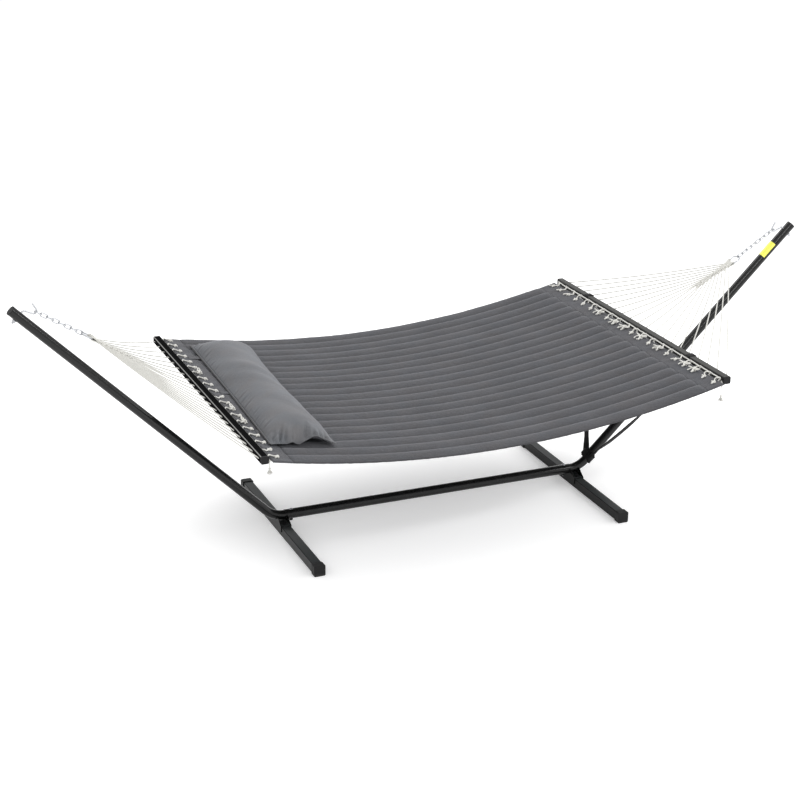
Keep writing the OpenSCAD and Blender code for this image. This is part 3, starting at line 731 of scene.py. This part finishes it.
def grid_shell(name, top, low, finish):
    """Closes two matching grids of points into one shell with its edges joined."""
    rows, cols = top.shape[:2]
    count = rows * cols
    index = np.arange(count).reshape(rows, cols)
    points = np.concatenate([top.reshape(-1, 3), low.reshape(-1, 3)])
    faces = []
    for i in range(rows - 1):
        for j in range(cols - 1):
            a, b, c, d = index[i, j], index[i + 1, j], index[i + 1, j + 1], index[i, j + 1]
            faces.append((a, b, c, d))
            faces.append((a + count, d + count, c + count, b + count))
    rim = [index[0, j] for j in range(cols)] + [index[i, -1] for i in range(1, rows)] + \
        [index[-1, j] for j in range(cols - 2, -1, -1)] + [index[i, 0] for i in range(rows - 2, 0, -1)]
    for a, b in zip(rim, rim[1:] + rim[:1]):
        faces.append((a, b, b + count, a + count))
    mesh = bpy.data.meshes.new(name)
    mesh.from_pydata(points.tolist(), [], [tuple(int(v) for v in f) for f in faces])
    mesh.materials.append(finish)
    mesh.validate()
    mesh.shade_smooth()
    faced_out(mesh, weld=1e-6)
    return placed(name, mesh)


def raised(x, y, lift):
    """Points lift above the bed's middle surface."""
    nx, nz = bed_up(x)
    return np.stack([x + nx * lift, y, bed_z(x) + nz * lift], axis=-1)


pillow_low, pillow_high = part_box("pillow")
across_cells, along_cells = 12, 118
x_line = np.linspace(bed_low.x - 0.004, bed_high.x + 0.004, along_cells + 1)[None, :]
steps = np.arange(channels * across_cells + 1)
y_line = (-half_bed + steps * channel_w / across_cells)[:, None]
channel_no, seam_no = steps // across_cells, np.round(steps / across_cells)
share = (steps % across_cells)[:, None] / across_cells
shape = np.sin(np.pi * share ** 1.7) ** 0.55
wrinkle, swell, wander = (np.stack([ripple(x_line[0], seed + int(c), scale) for c in numbers])
                          for numbers, seed, scale in ((seam_no, 40, 0.0062), (channel_no, 90, 0.055),
                                                       (seam_no, 140, 0.16)))
under_pillow = unit((pillow_high.x - 0.004 - x_line) / 0.02) \
    * unit((pillow_high.y - y_line) / 0.02) * unit((y_line - pillow_low.y) / 0.02)
end_hem = unit(np.minimum(x_line - x_line.min(), x_line.max() - x_line) / 0.035) ** 0.5
crest = (0.0098 + 0.0012 * swell) * (1 - 0.45 * under_pillow) * (0.35 + 0.65 * end_hem)
off_thread = np.minimum(share, 1 - share) * channel_w
pucker = 0.0007 * wrinkle * np.exp(-off_thread / 0.016) * (1 - 0.6 * under_pillow)
sagging = 0.0018 * ripple(x_line, 7, 0.21) * np.sin(np.pi * (y_line + half_bed) / (2 * half_bed))
edge_y = y_line + 0.0010 * wander * (np.abs(y_line) < half_bed - 0.01)
lift_top = 0.0012 + crest * shape + pucker + sagging
lift_low = -0.0012 - 0.8 * crest * shape - 0.8 * pucker + sagging
x_grid = np.broadcast_to(x_line, lift_top.shape)
quilt = grid_shell("quilted_bed", raised(x_grid, edge_y, lift_top),
                   raised(x_grid, edge_y, lift_low), quilt_cloth)

# Seam stitches: short threads pulled into every seam, on the upper and the lower side.


def stitch_tree():
    tree = new_tree("stitch_row", ("Pitch", "NodeSocketFloat", 0.006),
                    ("Length", "NodeSocketFloat", 0.004), ("Thickness", "NodeSocketFloat", 0.0008),
                    ("Finish", "NodeSocketMaterial", None))
    given = tree.nodes.new("NodeGroupInput").outputs
    places = geo(tree, "GeometryNodeCurveToPoints", {"mode": "LENGTH"},
                 Curve=given["Geometry"], Length=given["Pitch"])
    stitch = geo(tree, "GeometryNodeMeshCylinder", {"fill_type": "NGON"}, Vertices=5,
                 Radius=given["Thickness"], Depth=given["Length"])
    laid = geo(tree, "GeometryNodeInstanceOnPoints", Points=places.outputs["Points"],
               Instance=stitch.outputs["Mesh"], Rotation=places.outputs["Rotation"])
    real = geo(tree, "GeometryNodeRealizeInstances", Geometry=laid.outputs[0])
    painted = geo(tree, "GeometryNodeSetMaterial", Geometry=real.outputs[0], Material=given["Finish"])
    tree.links.new(painted.outputs[0], tree.nodes.new("NodeGroupOutput").inputs[0])
    return tree


stitches = stitch_tree()


def stitched(name, rows, pitch_m, length, thickness):
    return run_tree(curve_source(rows), stitches, {
        "Pitch": pitch_m, "Length": length, "Thickness": thickness, "Finish": seam_thread}, name)


seam_rows = []
for c in range(1, channels):
    row = c * across_cells
    for lifted in (lift_top[row] + 0.0001, lift_low[row] - 0.0001):
        seam_rows.append(raised(x_line[0], edge_y[row], lifted)[::3])
bed_stitches = stitched("bed_stitches", seam_rows, 0.010, 0.0065, 0.0006)

hems = []
for name, s in ENDS.items():
    low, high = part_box("hem_" + name)
    hem_x = np.linspace(low.x, high.x, 15)[None, :]
    hem_y = np.linspace(-half_bed, half_bed, 20 * 12 + 1)[:, None]
    gathered = np.exp(-np.abs(hem_x - (low.x if s > 0 else high.x)) / 0.012)
    slack = 0.0004 * ripple(hem_y, 5 + s, 0.022) \
        - 0.0007 * gathered * np.sin(2 * np.pi * (hem_y + half_bed) / channel_w)
    rim = unit(np.minimum(hem_x - low.x, high.x - hem_x) / 0.0035)
    side_rim = unit((half_bed - np.abs(hem_y)) / 0.0035)
    thick = 0.0014 + 0.0026 * np.sqrt(unit(rim * (2 - rim))) * np.sqrt(unit(side_rim * (2 - side_rim)))
    pulled = -0.0007 * np.cos(2 * np.pi * hem_y / pitch + np.pi) * (1 - gathered)
    hx, hy = np.broadcast_arrays(hem_x, hem_y)
    hem = grid_shell("hem_band_" + name, raised(hx, hy, thick + slack + pulled),
                     raised(hx, hy, -thick + slack + pulled), hem_cloth)
    holes = bmesh.new()
    gx = middle("grommets_" + name).x
    nx, nz = bed_up(gx)
    for i in range(20):
        spot = Matrix.Translation((gx, (i - 9.5) * pitch, bed_z(gx))) @ \
            Vector((nx, 0, nz)).to_track_quat("Z", "Y").to_matrix().to_4x4()
        bmesh.ops.create_cone(holes, cap_ends=True, segments=16, radius1=0.0042, radius2=0.0042,
                              depth=0.03, matrix=spot)
    punch_mesh = bpy.data.meshes.new("punch")
    holes.to_mesh(punch_mesh)
    holes.free()
    punch = placed("punch", punch_mesh)
    cut = hem.modifiers.new("punch", "BOOLEAN")
    cut.operation, cut.solver, cut.object = "DIFFERENCE", "EXACT", punch
    graph = bpy.context.evaluated_depsgraph_get()
    hem.data = bpy.data.meshes.new_from_object(hem.evaluated_get(graph))
    hem.modifiers.clear()
    bpy.data.objects.remove(punch)
    hem.data.shade_smooth()
    inner = low.x + 0.006 if s > 0 else high.x - 0.006
    rows = []
    line_y = hem_y[:, 0]
    for x in (inner, inner + s * 0.007, (high.x if s > 0 else low.x) - s * 0.0045):
        k = int(np.argmin(np.abs(hem_x[0] - x)))
        for side in (1, -1):
            lift = side * thick[:, k] + slack[:, k] + pulled[:, k] + side * 0.0001
            rows.append(raised(np.full_like(line_y, x), line_y, lift)[3:-3:2])
    rows_piece = stitched("hem_stitches_" + name, rows, 0.006, 0.0042, 0.0006)
    hems += [hem, rows_piece]
    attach(hem, "hammock")
    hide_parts("hem_" + name)
    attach(rows_piece, "hammock")
for piece in (quilt, bed_stitches):
    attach(piece, "hammock")
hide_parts("bed")

# --- Lacing: the bed is tied to both bars --------------------------------------------------
# One cord runs slack along the inner edge of each bar. At every hole a tie curls down to an
# eyelet of the hem, is knotted on it, and ends in a short tail. Some ties end in bows.
lace_d = 0.0054
bows = {"left": (5, 7, 13), "right": (2, 3, 6, 8, 10, 11, 13)}
for name, s in ENDS.items():
    bar = middle("spreader_bar_" + name)
    gx = middle("grommets_" + name).x
    cloth_z = bed_z(gx)
    top = cloth_z + 0.0062
    inner = bar.x - s * 0.0175
    loose = np.random.default_rng(31 + s)
    running, ties = [], []
    hang = bar.z - (0.013 if s < 0 else 0.0)
    tuck = 0.011 if s < 0 else 0.0
    for i in range(20):
        y = (i - 9.5) * pitch
        a, b, c = loose.random(3) - 0.5
        turn = 1 if loose.random() > 0.25 else -1
        running += [(inner, y - 0.006, hang + 0.004), (inner - s * 0.0035, y, hang + 0.0075),
                    (inner - s * 0.001, y + 0.006, hang + 0.003)]
        if i < 19:
            running += [(inner - s * (0.0015 + 0.001 * a), y + 0.024, hang + 0.004 + 0.001 * b),
                        (inner - s * (0.0015 + 0.001 * c), y + 0.048, hang + 0.004 + 0.001 * a)]
        knot = Vector((gx + s * 0.003 * b, y + 0.002 * a, top + 0.0012))
        swing = turn * (0.013 + 0.006 * c)
        tie = [(bar.x - s * 0.004, y, bar.z), (bar.x - s * 0.0155, y, bar.z),
               (inner - s * 0.004, y + 0.4 * swing, bar.z + 0.0035),
               (inner - s * 0.010, y + 1.1 * swing, (bar.z + top) / 2 + 0.006),
               ((inner + gx) / 2, y + 1.15 * swing, top + 0.0045),
               (gx + s * 0.009, y + 0.45 * swing, top + 0.0035)]
        tie += trefoil(knot, 0.0082, 0.5, 2.0 * a + i)[::2]
        tie += [knot + Vector((-s * 0.004, -0.4 * swing, 0.002)),
                knot + Vector((-s * (0.011 - tuck / 2), -0.75 * swing, 0.0005)),
                knot + Vector((-s * (0.019 - tuck + 0.004 * b), -0.9 * swing, -0.001))]
        ties.append(tie)
        ties.append([(gx, y, top + 0.002), (gx, y, cloth_z), (gx, y, cloth_z - 0.008),
                     (gx + s * 0.012, y + 0.003, cloth_z - 0.0075),
                     (gx + s * 0.024, y + 0.004, cloth_z - 0.004),
                     (bar.x - s * 0.0185, y + 0.004, bar.z - 0.003),
                     (bar.x - s * 0.012, y + 0.001, bar.z)])
        if i in bows[name]:
            heart = knot + Vector((s * 0.005, 0.004 * turn, 0.006))
            for lean in (-1, 1):
                spin = 0.9 * a + (0.5 if lean > 0 else -0.3)
                u = Vector((-s * math.sin(spin) * 0.8, lean * math.cos(spin), 0.10))
                w = Vector((-u.y * 0.5, u.x * 0.5, 0.25)) * lean
                ties.append([heart, heart + u * 0.010 + w * 0.008,
                             heart + u * 0.022 + w * 0.009 + Vector((0, 0, 0.002)),
                             heart + u * 0.028 + Vector((0, 0, 0.001)), heart + u * 0.021 - w * 0.008,
                             heart + u * 0.010 - w * 0.006, heart])
                ties.append([heart, heart + Vector((-s * 0.010, lean * 0.006, 0.001)),
                             heart + Vector((-s * (0.019 - tuck), lean * (0.012 + 0.006 * b), -0.005)),
                             heart + Vector((-s * (0.028 - tuck + 0.006 * c),
                                             lean * (0.011 + 0.008 * a), -0.0075))])
            ties.append(trefoil(heart, 0.0072, 0.7, 3 * b))
    lacing = corded("lacing_cords_" + name, [running, *ties], lace_d, white_rope, 0.0032, 7)
    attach(lacing, "hammock")
    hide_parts("lacing_" + name)

# --- Pillow ----------------------------------------------------------------------------------
# A long soft bolster in smooth fabric. Two panels are sewn round the edge and filled; the
# cover is a little long for its seams, so it puckers along them. It lies a little turned.
pillow_cloth = woven("pillow_cloth", (0.082, 0.084, 0.089), (0.110, 0.113, 0.119), 0.0009, 0.2, 0.0011)
head_turn = 0.042
near_y, far_y = pillow_low.y + 0.002, pillow_high.y - 0.002
head_x = pillow_low.x
full_w = 0.250
cells_x, cells_y = 24, 100
u_line = (np.arange(cells_x + 1) / cells_x)[None, :]
v_line = (np.arange(cells_y + 1) / cells_y)[:, None]
length = far_y - near_y
run = v_line * length
from_end = np.minimum(run, length - run)
ears = 0.007 * np.sin(np.pi * u_line)
waist = 0.006 * np.sin(np.pi * v_line)
round_far = 0.020 * unit((run - (length - 0.07)) / 0.07) ** 2
flat_x = waist + u_line * (full_w - 2 * waist - round_far)
flat_y = near_y + run + ears * unit(1 - from_end / 0.12) * np.where(v_line < 0.5, 1, -1)
plump = 0.078 * (1 - 0.06 * np.abs(np.sin(3.3 * v_line * np.pi)) + 0.05 * np.sin(5.1 * v_line + 1))
arch = unit(4 * u_line * (1 - u_line)) ** 0.55
closing = np.sin(np.pi / 2 * unit(from_end / 0.15)) ** 0.72
fill_t = plump * arch * closing


def pillow_point(xx, yy, lift):
    """Places a point of the pillow over the bed: xx from its head edge, lift above the bed."""
    x = head_x + head_turn * (yy - near_y) + xx
    nx, nz = bed_up(x)
    rise = 0.0085 + lift
    return np.stack([x + nx * rise, yy, bed_z(x) + nz * rise], axis=-1)


def pillow_shell(name, top, low):
    """Two grids of points that share their outer edge."""
    rows, cols = top.shape[:2]
    count = rows * cols
    index = np.arange(count).reshape(rows, cols)
    under = index + count
    for edge in (np.s_[0, :], np.s_[-1, :], np.s_[:, 0], np.s_[:, -1]):
        under[edge] = index[edge]
    points = np.concatenate([top.reshape(-1, 3), low.reshape(-1, 3)])
    faces = []
    for i in range(rows - 1):
        for j in range(cols - 1):
            faces.append((index[i, j], index[i, j + 1], index[i + 1, j + 1], index[i + 1, j]))
            faces.append((under[i, j], under[i + 1, j], under[i + 1, j + 1], under[i, j + 1]))
    used = sorted({int(v) for f in faces for v in f})
    place = {v: k for k, v in enumerate(used)}
    mesh = bpy.data.meshes.new(name)
    mesh.from_pydata(points[used].tolist(), [], [tuple(place[int(v)] for v in f) for f in faces])
    lookup = np.vectorize(place.get)
    return placed(name, mesh), lookup(index), lookup(under)


xx_grid, yy_grid = np.broadcast_arrays(flat_x, flat_y)
upper, lower = (np.stack([xx_grid, yy_grid, side * 0.45 * fill_t], -1) for side in (1, -1))


def coordinates(mesh):
    flat = np.empty(len(mesh.vertices) * 3, np.float32)
    mesh.vertices.foreach_get("co", flat)
    return flat.reshape(-1, 3).astype(float)


pillow, over_id, under_id = pillow_shell("pillow_cut", upper, lower)
pillow.shape_key_add(name="cut")
longer = pillow.shape_key_add(name="longer")
cut_points = coordinates(pillow.data)
middle_x, middle_y = full_w / 2, (near_y + far_y) / 2
stretched = cut_points.copy()
stretched[:, 0] = middle_x + (cut_points[:, 0] - middle_x) * 1.07
stretched[:, 1] = middle_y + (cut_points[:, 1] - middle_y) * 1.055
longer.data.foreach_set("co", stretched.ravel().astype(np.float32))
sewn = pillow.vertex_groups.new(name="sewn")
rims = (over_id[0], over_id[-1], over_id[:, 0], over_id[:, -1])
rim_ids = sorted({int(v) for edge in rims for v in edge})
sewn.add(rim_ids, 1.0, "REPLACE")
cloth = pillow.modifiers.new("cloth", "CLOTH")
rules = cloth.settings
rules.quality, rules.mass, rules.air_damping = 6, 0.25, 2.0
rules.tension_stiffness = rules.compression_stiffness = 22
rules.shear_stiffness, rules.bending_stiffness = 12, 0.15
rules.use_pressure, rules.uniform_pressure_force = True, 2.2
rules.vertex_group_mass = "sewn"
rules.rest_shape_key = longer
rules.effector_weights.gravity = 0
cloth.collision_settings.use_self_collision = False
cloth.point_cache.frame_start, cloth.point_cache.frame_end = 1, 22
for frame_no in range(1, 23):
    bpy.context.scene.frame_set(frame_no)
graph = bpy.context.evaluated_depsgraph_get()
settled = bpy.data.meshes.new_from_object(pillow.evaluated_get(graph))
moved = coordinates(settled)
shift = moved - cut_points
reach = np.linalg.norm(shift, axis=1, keepdims=True)
moved = cut_points + shift * np.minimum(1, 0.020 / np.maximum(reach, 1e-9))
bpy.data.objects.remove(pillow)
bpy.data.meshes.remove(settled)
bpy.context.scene.frame_set(1)
upper, lower = moved[over_id], moved[under_id]


def finer(grid):
    """Twice as many cells along both sides of a grid."""
    for axis in (0, 1):
        at = np.arange(2 * grid.shape[axis] - 1) / 2
        before = np.floor(at).astype(int)
        after = np.ceil(at).astype(int)
        grid = (np.take(grid, before, axis) + np.take(grid, after, axis)) / 2
    return grid


upper, lower = finer(upper), finer(lower)

# Seam puckers, the flat underside and the raised near corner are worked into the cover.
near_end = upper[..., 1] - near_y
far_end = length - near_end
head_side = upper[..., 0]
foot_side = full_w - head_side
from_seam = np.minimum(np.minimum(near_end, far_end), np.minimum(head_side, foot_side))


def creases(along, out, extent, every, seed, lean, reach, depth):
    """Sharp gathers that start at a seam and die out at about reach from it."""
    luck = np.random.default_rng(seed)
    total = np.zeros_like(along)
    for spot in np.arange(every / 2, extent, every):
        spot += every * 0.7 * (luck.random() - 0.5)
        far, deep = reach * (0.55 + 0.9 * luck.random()), depth * (0.35 + 0.9 * luck.random())
        off = along - spot - lean * (0.6 + 0.8 * luck.random()) * out
        near = np.clip(out / (0.25 * far), 0.55, 1) * unit(1.6 * (1 - out / far))
        fold = np.exp(-(off / 0.0038) ** 2) - 0.55 * np.exp(-((off - 0.011) / 0.0065) ** 2)
        total += deep * near * fold
    return total


off_seam = unit(from_seam / 0.014)
puckers = 0.0050 - creases(head_side, near_end, full_w, 0.022, 61, 0.25, 0.062, 0.0160) \
    - creases(head_side, far_end, full_w, 0.040, 62, -0.3, 0.050, 0.0050) \
    - creases(near_end, head_side, length, 0.050, 63, 0.45, 0.036, 0.0058) \
    - creases(near_end, foot_side, length, 0.070, 64, -0.30, 0.030, 0.0026)
tufting = 0.0022 * ripple(near_end * 1.3 + head_side * 2, 65, 0.06) * off_seam
thickness = np.clip(upper[..., 2] - lower[..., 2], 0, None)
underside = 0.010 * np.exp(-from_seam / 0.020) - 0.005 * np.exp(-head_side / 0.020)
share_now = head_side / full_w
arched = unit((share_now - 0.44) / 0.20) * unit((1.0 - share_now) / 0.30)
ripples = 0.25 * np.exp(-((share_now - 0.33) / 0.05) ** 2)
lifted = 0.034 * (arched + ripples) * unit(1 - near_end / 0.11) ** 1.5
cover_top = thickness + underside + (puckers - 0.003) * off_seam + tufting + lifted
cover_low = underside * 0.98 + lifted * unit(1.15 - off_seam * 0.15)
rim_mask = np.ones_like(thickness, bool)
rim_mask[1:-1, 1:-1] = False
cover_low[rim_mask] = cover_top[rim_mask] = (underside + lifted)[rim_mask]
top_now = pillow_point(upper[..., 0], upper[..., 1], np.maximum(cover_top, cover_low))
pillow = pillow_shell("pillow_cover", top_now, pillow_point(lower[..., 0], lower[..., 1], cover_low))[0]
pillow.data.materials.append(pillow_cloth)
pillow.data.shade_smooth()
fine = pillow.modifiers.new("fine", "SUBSURF")
fine.levels = fine.render_levels = 1
faced_out(pillow.data)
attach(pillow, "pillow")
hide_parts("pillow")

# Welt: a folded strip sewn between the two panels, all round the pillow.
rim_points = [*top_now[0], *top_now[1:, -1], *top_now[-1, -2::-1], *top_now[-2:0:-1, 0]]
welt = corded("pillow_welt", [[*rim_points, rim_points[0], rim_points[1]]], 0.0042, pillow_cloth, 0.006, 8)

# A dark cord along the cover's head edge stands for the shadow in the gap under that edge: a painted
# shadow.
shadow_tape = Finish("pillow_head_shadow", Sheen_Weight=0.2)
grain = shadow_tape.noise(shadow_tape.place((1, 5, 1)), 400, 3.0)
shadow_tape.use(Base_Color=shadow_tape.blend(grain, (0.010, 0.010, 0.011), (0.020, 0.020, 0.022)),
         Roughness=0.75 + 0.1 * grain, Normal=shadow_tape.bump(grain, 0.0003))
head_edge = [p + np.array((-0.0020, 0, -0.0016)) for p in top_now[:, 0]]
head_shadow_cord = corded("pillow_head_shadow", [head_edge], 0.0062, shadow_tape.material, 0.006, 8)
for piece in (welt, head_shadow_cord):
    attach(piece, "pillow")

# --- Pillow tabs ------------------------------------------------------------------------------
# Three thin strips of the bed's fabric, sewn flat to the hem and to the pillow's head edge.
tab_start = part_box("pillow_tabs")[0].x
tab_rows, tab_parts = [], []
pillow_mid = (pillow_low.y + pillow_high.y) / 2
for k, y_mid in enumerate((pillow_mid - 0.44, pillow_mid, pillow_mid + 0.44)):
    stop = head_x + head_turn * (y_mid - near_y) + 0.003
    t = np.linspace(0, 1, 13)[None, :]
    w = np.linspace(-1, 1, 13)[:, None]
    tx = tab_start + (stop - tab_start) * t + 0 * w
    ty = y_mid + 0.019 * w * (1 - 0.05 * np.sin(np.pi * t))
    lift = 0.0052 + 0.0026 * t ** 1.4 + 0.0005 * np.sin(np.pi * t) * np.cos(1.5 * w + k)
    edge = np.sqrt(unit(1 - np.abs(w) ** 6)) * np.sqrt(unit(1 - np.abs(2 * t - 1) ** 10))
    band = 0.0002 + 0.0006 * edge
    tab_parts.append(grid_shell("pillow_tab", raised(tx, ty, lift + band),
                                raised(tx, ty, lift - band), hem_cloth))
    face = raised(tx, ty, lift + band + 0.0001)
    tab_rows += [face[1, 1:-1], face[-2, 1:-1], face[1:-1, 1], face[1:-1, 2]]
joined = bmesh.new()
for part in tab_parts:
    joined.from_mesh(part.data)
    bpy.data.objects.remove(part)
tabs_mesh = bpy.data.meshes.new("pillow_tab_strips")
joined.to_mesh(tabs_mesh)
joined.free()
tabs_mesh.materials.append(hem_cloth)
tabs_mesh.shade_smooth()
tabs = placed("pillow_tab_strips", tabs_mesh)
tab_stitches = stitched("tab_stitches", tab_rows, 0.004, 0.0028, 0.00045)
for piece in (tabs, tab_stitches):
    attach(piece, "hammock")
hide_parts("pillow_tabs")

# --- Anti-roll strap ---------------------------------------------------------------------------
# Black woven webbing. A loop is cinched round the foot of one arm, and two legs run up from
# it to wraps round the foot-end bar, so that the hammock can't roll over.


def webbing_finish():
    web = Finish("black_webbing", Sheen_Weight=0.04, Specular_IOR_Level=0.15)
    u, v, _ = web.split(web.node("ShaderNodeUVMap", {"uv_map": "lay"}))
    ribs = abs(web.sine(u * 7.0))
    picks = abs(web.sine(v / 0.0030 + web.math("SINE", u * 43.98) * 0.25))
    fuzz = web.noise(web.place(), 700, 3.0)
    height = ribs * 0.6 + picks * 0.4 + fuzz * 0.2
    # The weave's low parts are painted darker: painted shade in its hollows, with random tone from the
    # fuzz.
    tone = web.blend(web.clamp(height, 0.2, 1.1), (0.0035, 0.0035, 0.0038), (0.012, 0.012, 0.0125))
    return web.use(Base_Color=tone, Roughness=0.72 + 0.12 * fuzz, Normal=web.bump(height, 0.0003))


black_web = webbing_finish()


def webbing(name, runs, width, thick=0.0018):
    """Flat bands. Each run is points with the direction across the band at each point."""
    section = [(-0.5, -0.3), (-0.46, -0.5), (-0.16, -0.5), (0.16, -0.5), (0.46, -0.5), (0.5, -0.3),
               (0.5, 0.3), (0.46, 0.5), (0.16, 0.5), (-0.16, 0.5), (-0.46, 0.5), (-0.5, 0.3)]
    sides = len(section)
    points, faces, uvs = [], [], []
    for run, across in runs:
        base, travelled = len(points), 0.0
        far = []
        for k, p in enumerate(run):
            ahead_k = (Vector(run[min(k + 1, len(run) - 1)]) - Vector(run[max(k - 1, 0)])).normalized()
            side = (Vector(across[k]) - ahead_k * Vector(across[k]).dot(ahead_k)).normalized()
            flat = ahead_k.cross(side)
            if k:
                travelled += (Vector(p) - Vector(run[k - 1])).length
            far.append(travelled)
            points += [Vector(p) + side * (a * width) + flat * (b * thick) for a, b in section]
        for k in range(len(run) - 1):
            for j in range(sides):
                m = (j + 1) % sides
                a, b = base + k * sides, base + (k + 1) * sides
                faces.append((a + j, a + m, b + m, b + j))
                uj, um = section[j][0] + 0.5, section[m][0] + 0.5
                uvs += [(uj, far[k]), (um, far[k]), (um, far[k + 1]), (uj, far[k + 1])]
        last = base + (len(run) - 1) * sides
        faces.append(tuple(base + j for j in range(sides - 1, -1, -1)))
        uvs += [(section[j][0] + 0.5, far[0]) for j in range(sides - 1, -1, -1)]
        faces.append(tuple(last + j for j in range(sides)))
        uvs += [(section[j][0] + 0.5, far[-1]) for j in range(sides)]
    mesh = bpy.data.meshes.new(name)
    mesh.from_pydata([tuple(p) for p in points], [], faces)
    lay = mesh.uv_layers.new(name="lay")
    lay.data.foreach_set("uv", [c for uv in uvs for c in uv])
    mesh.materials.append(black_web)
    faced_out(mesh)
    mesh.shade_smooth()
    mesh.set_sharp_from_angle(angle=math.radians(50))
    piece = placed(name, mesh)
    return piece


arm_turn = math.radians(44.88)
arm_way = Vector((math.cos(arm_turn), 0, math.sin(arm_turn)))
arm_up = Vector((-math.sin(arm_turn), 0, math.cos(arm_turn)))
loop_at = Vector((0.698, 0, 0.068)) + arm_way * 0.066
strap_w = 0.028
ring_run, ring_across = [], []
for k in range(133):
    turns = k / 132 * 3.05
    a = 2 * math.pi * turns + 1.4
    r = 0.0204 + 0.0024 * turns + 0.0012 * math.sin(3.3 * a) * min(1, turns)
    slide = arm_way * (0.007 * math.sin(2.1 * turns) - 0.002 + 0.004 * math.sin(a) * min(1, turns))
    ring_run.append(loop_at + arm_up * (r * math.sin(a)) + Vector((0, r * math.cos(a), 0)) + slide)
    ring_across.append((arm_way + arm_up * 0.22 * math.sin(1.7 * a) * min(1, turns)).normalized())
pad_run = [loop_at + arm_up * (0.0282 + 0.0065 * math.cos(k / 10 * math.pi - math.pi / 2)) +
           Vector((0, -0.017 + 0.034 * k / 10, 0)) for k in range(11)]
cinch = webbing("strap_loop_web", [(ring_run, ring_across), (pad_run, [arm_way] * 11)], strap_w)
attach(cinch, "stand")
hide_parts("strap_loop")

bar = middle("spreader_bar_right")
wrap_y = 0.435
half_bar, corner_r = 0.0162, 0.0055
edge_on = Vector((0.637, 0.61, -0.57))
wraps, legs = [], []
for e in (-1, 1):
    run = []
    for grow in (0.0, 0.0019):
        for q in range(4):
            corner = math.radians(45 - 90 * q)
            cx = math.copysign(half_bar - corner_r, math.cos(corner))
            cz = math.copysign(half_bar - corner_r, math.sin(corner))
            for k in range(5):
                a = math.radians(45 - 90 * q - 22.5 * (k - 2))
                run.append(Vector((bar.x + cx + (corner_r + grow) * math.cos(a), e * wrap_y,
                                   bar.z + cz + (corner_r + grow) * math.sin(a))))
    run = run[:31]
    wraps.append((run, [Vector((0, 1, 0))] * len(run)))
    foot = loop_at + arm_up * 0.010 + arm_way * (0.0 if e < 0 else 0.010) + Vector((0, e * 0.0250, 0))
    head = Vector((bar.x, e * wrap_y, bar.z - half_bar - 0.0016))
    for off in (0.0, 0.0024):
        line, sides_of = [], []
        for k in range(41):
            t = k / 40
            sag = (0.029 if e < 0 else 0.012) * 4 * t * (1 - t)
            line.append(foot.lerp(head, t) + Vector((0, 0, -sag)))
            flat_low = max(0.0, 1 - t / (0.20 if e < 0 else 0.10))
            flat_high = min(1.0, max(0.0, (t - 0.42) / 0.55)) if e < 0 else 1 - flat_low
            sides_of.append((arm_way * flat_low + edge_on * (1 - flat_low - flat_high) +
                             Vector((0, -e, 0)) * flat_high).normalized())
        for k, across_k in enumerate(sides_of):
            ahead_k = (line[min(k + 1, 40)] - line[max(k - 1, 0)]).normalized()
            line[k] = line[k] + ahead_k.cross(across_k).normalized() * off
        legs.append((line, sides_of))
strap_laps = webbing("strap_wrap_web", wraps, strap_w)
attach(strap_laps, "hammock")
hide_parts("strap_wraps")
strap_runs = webbing("strap_leg_web", legs, strap_w)
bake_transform(strap_runs)
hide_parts("strap_legs")
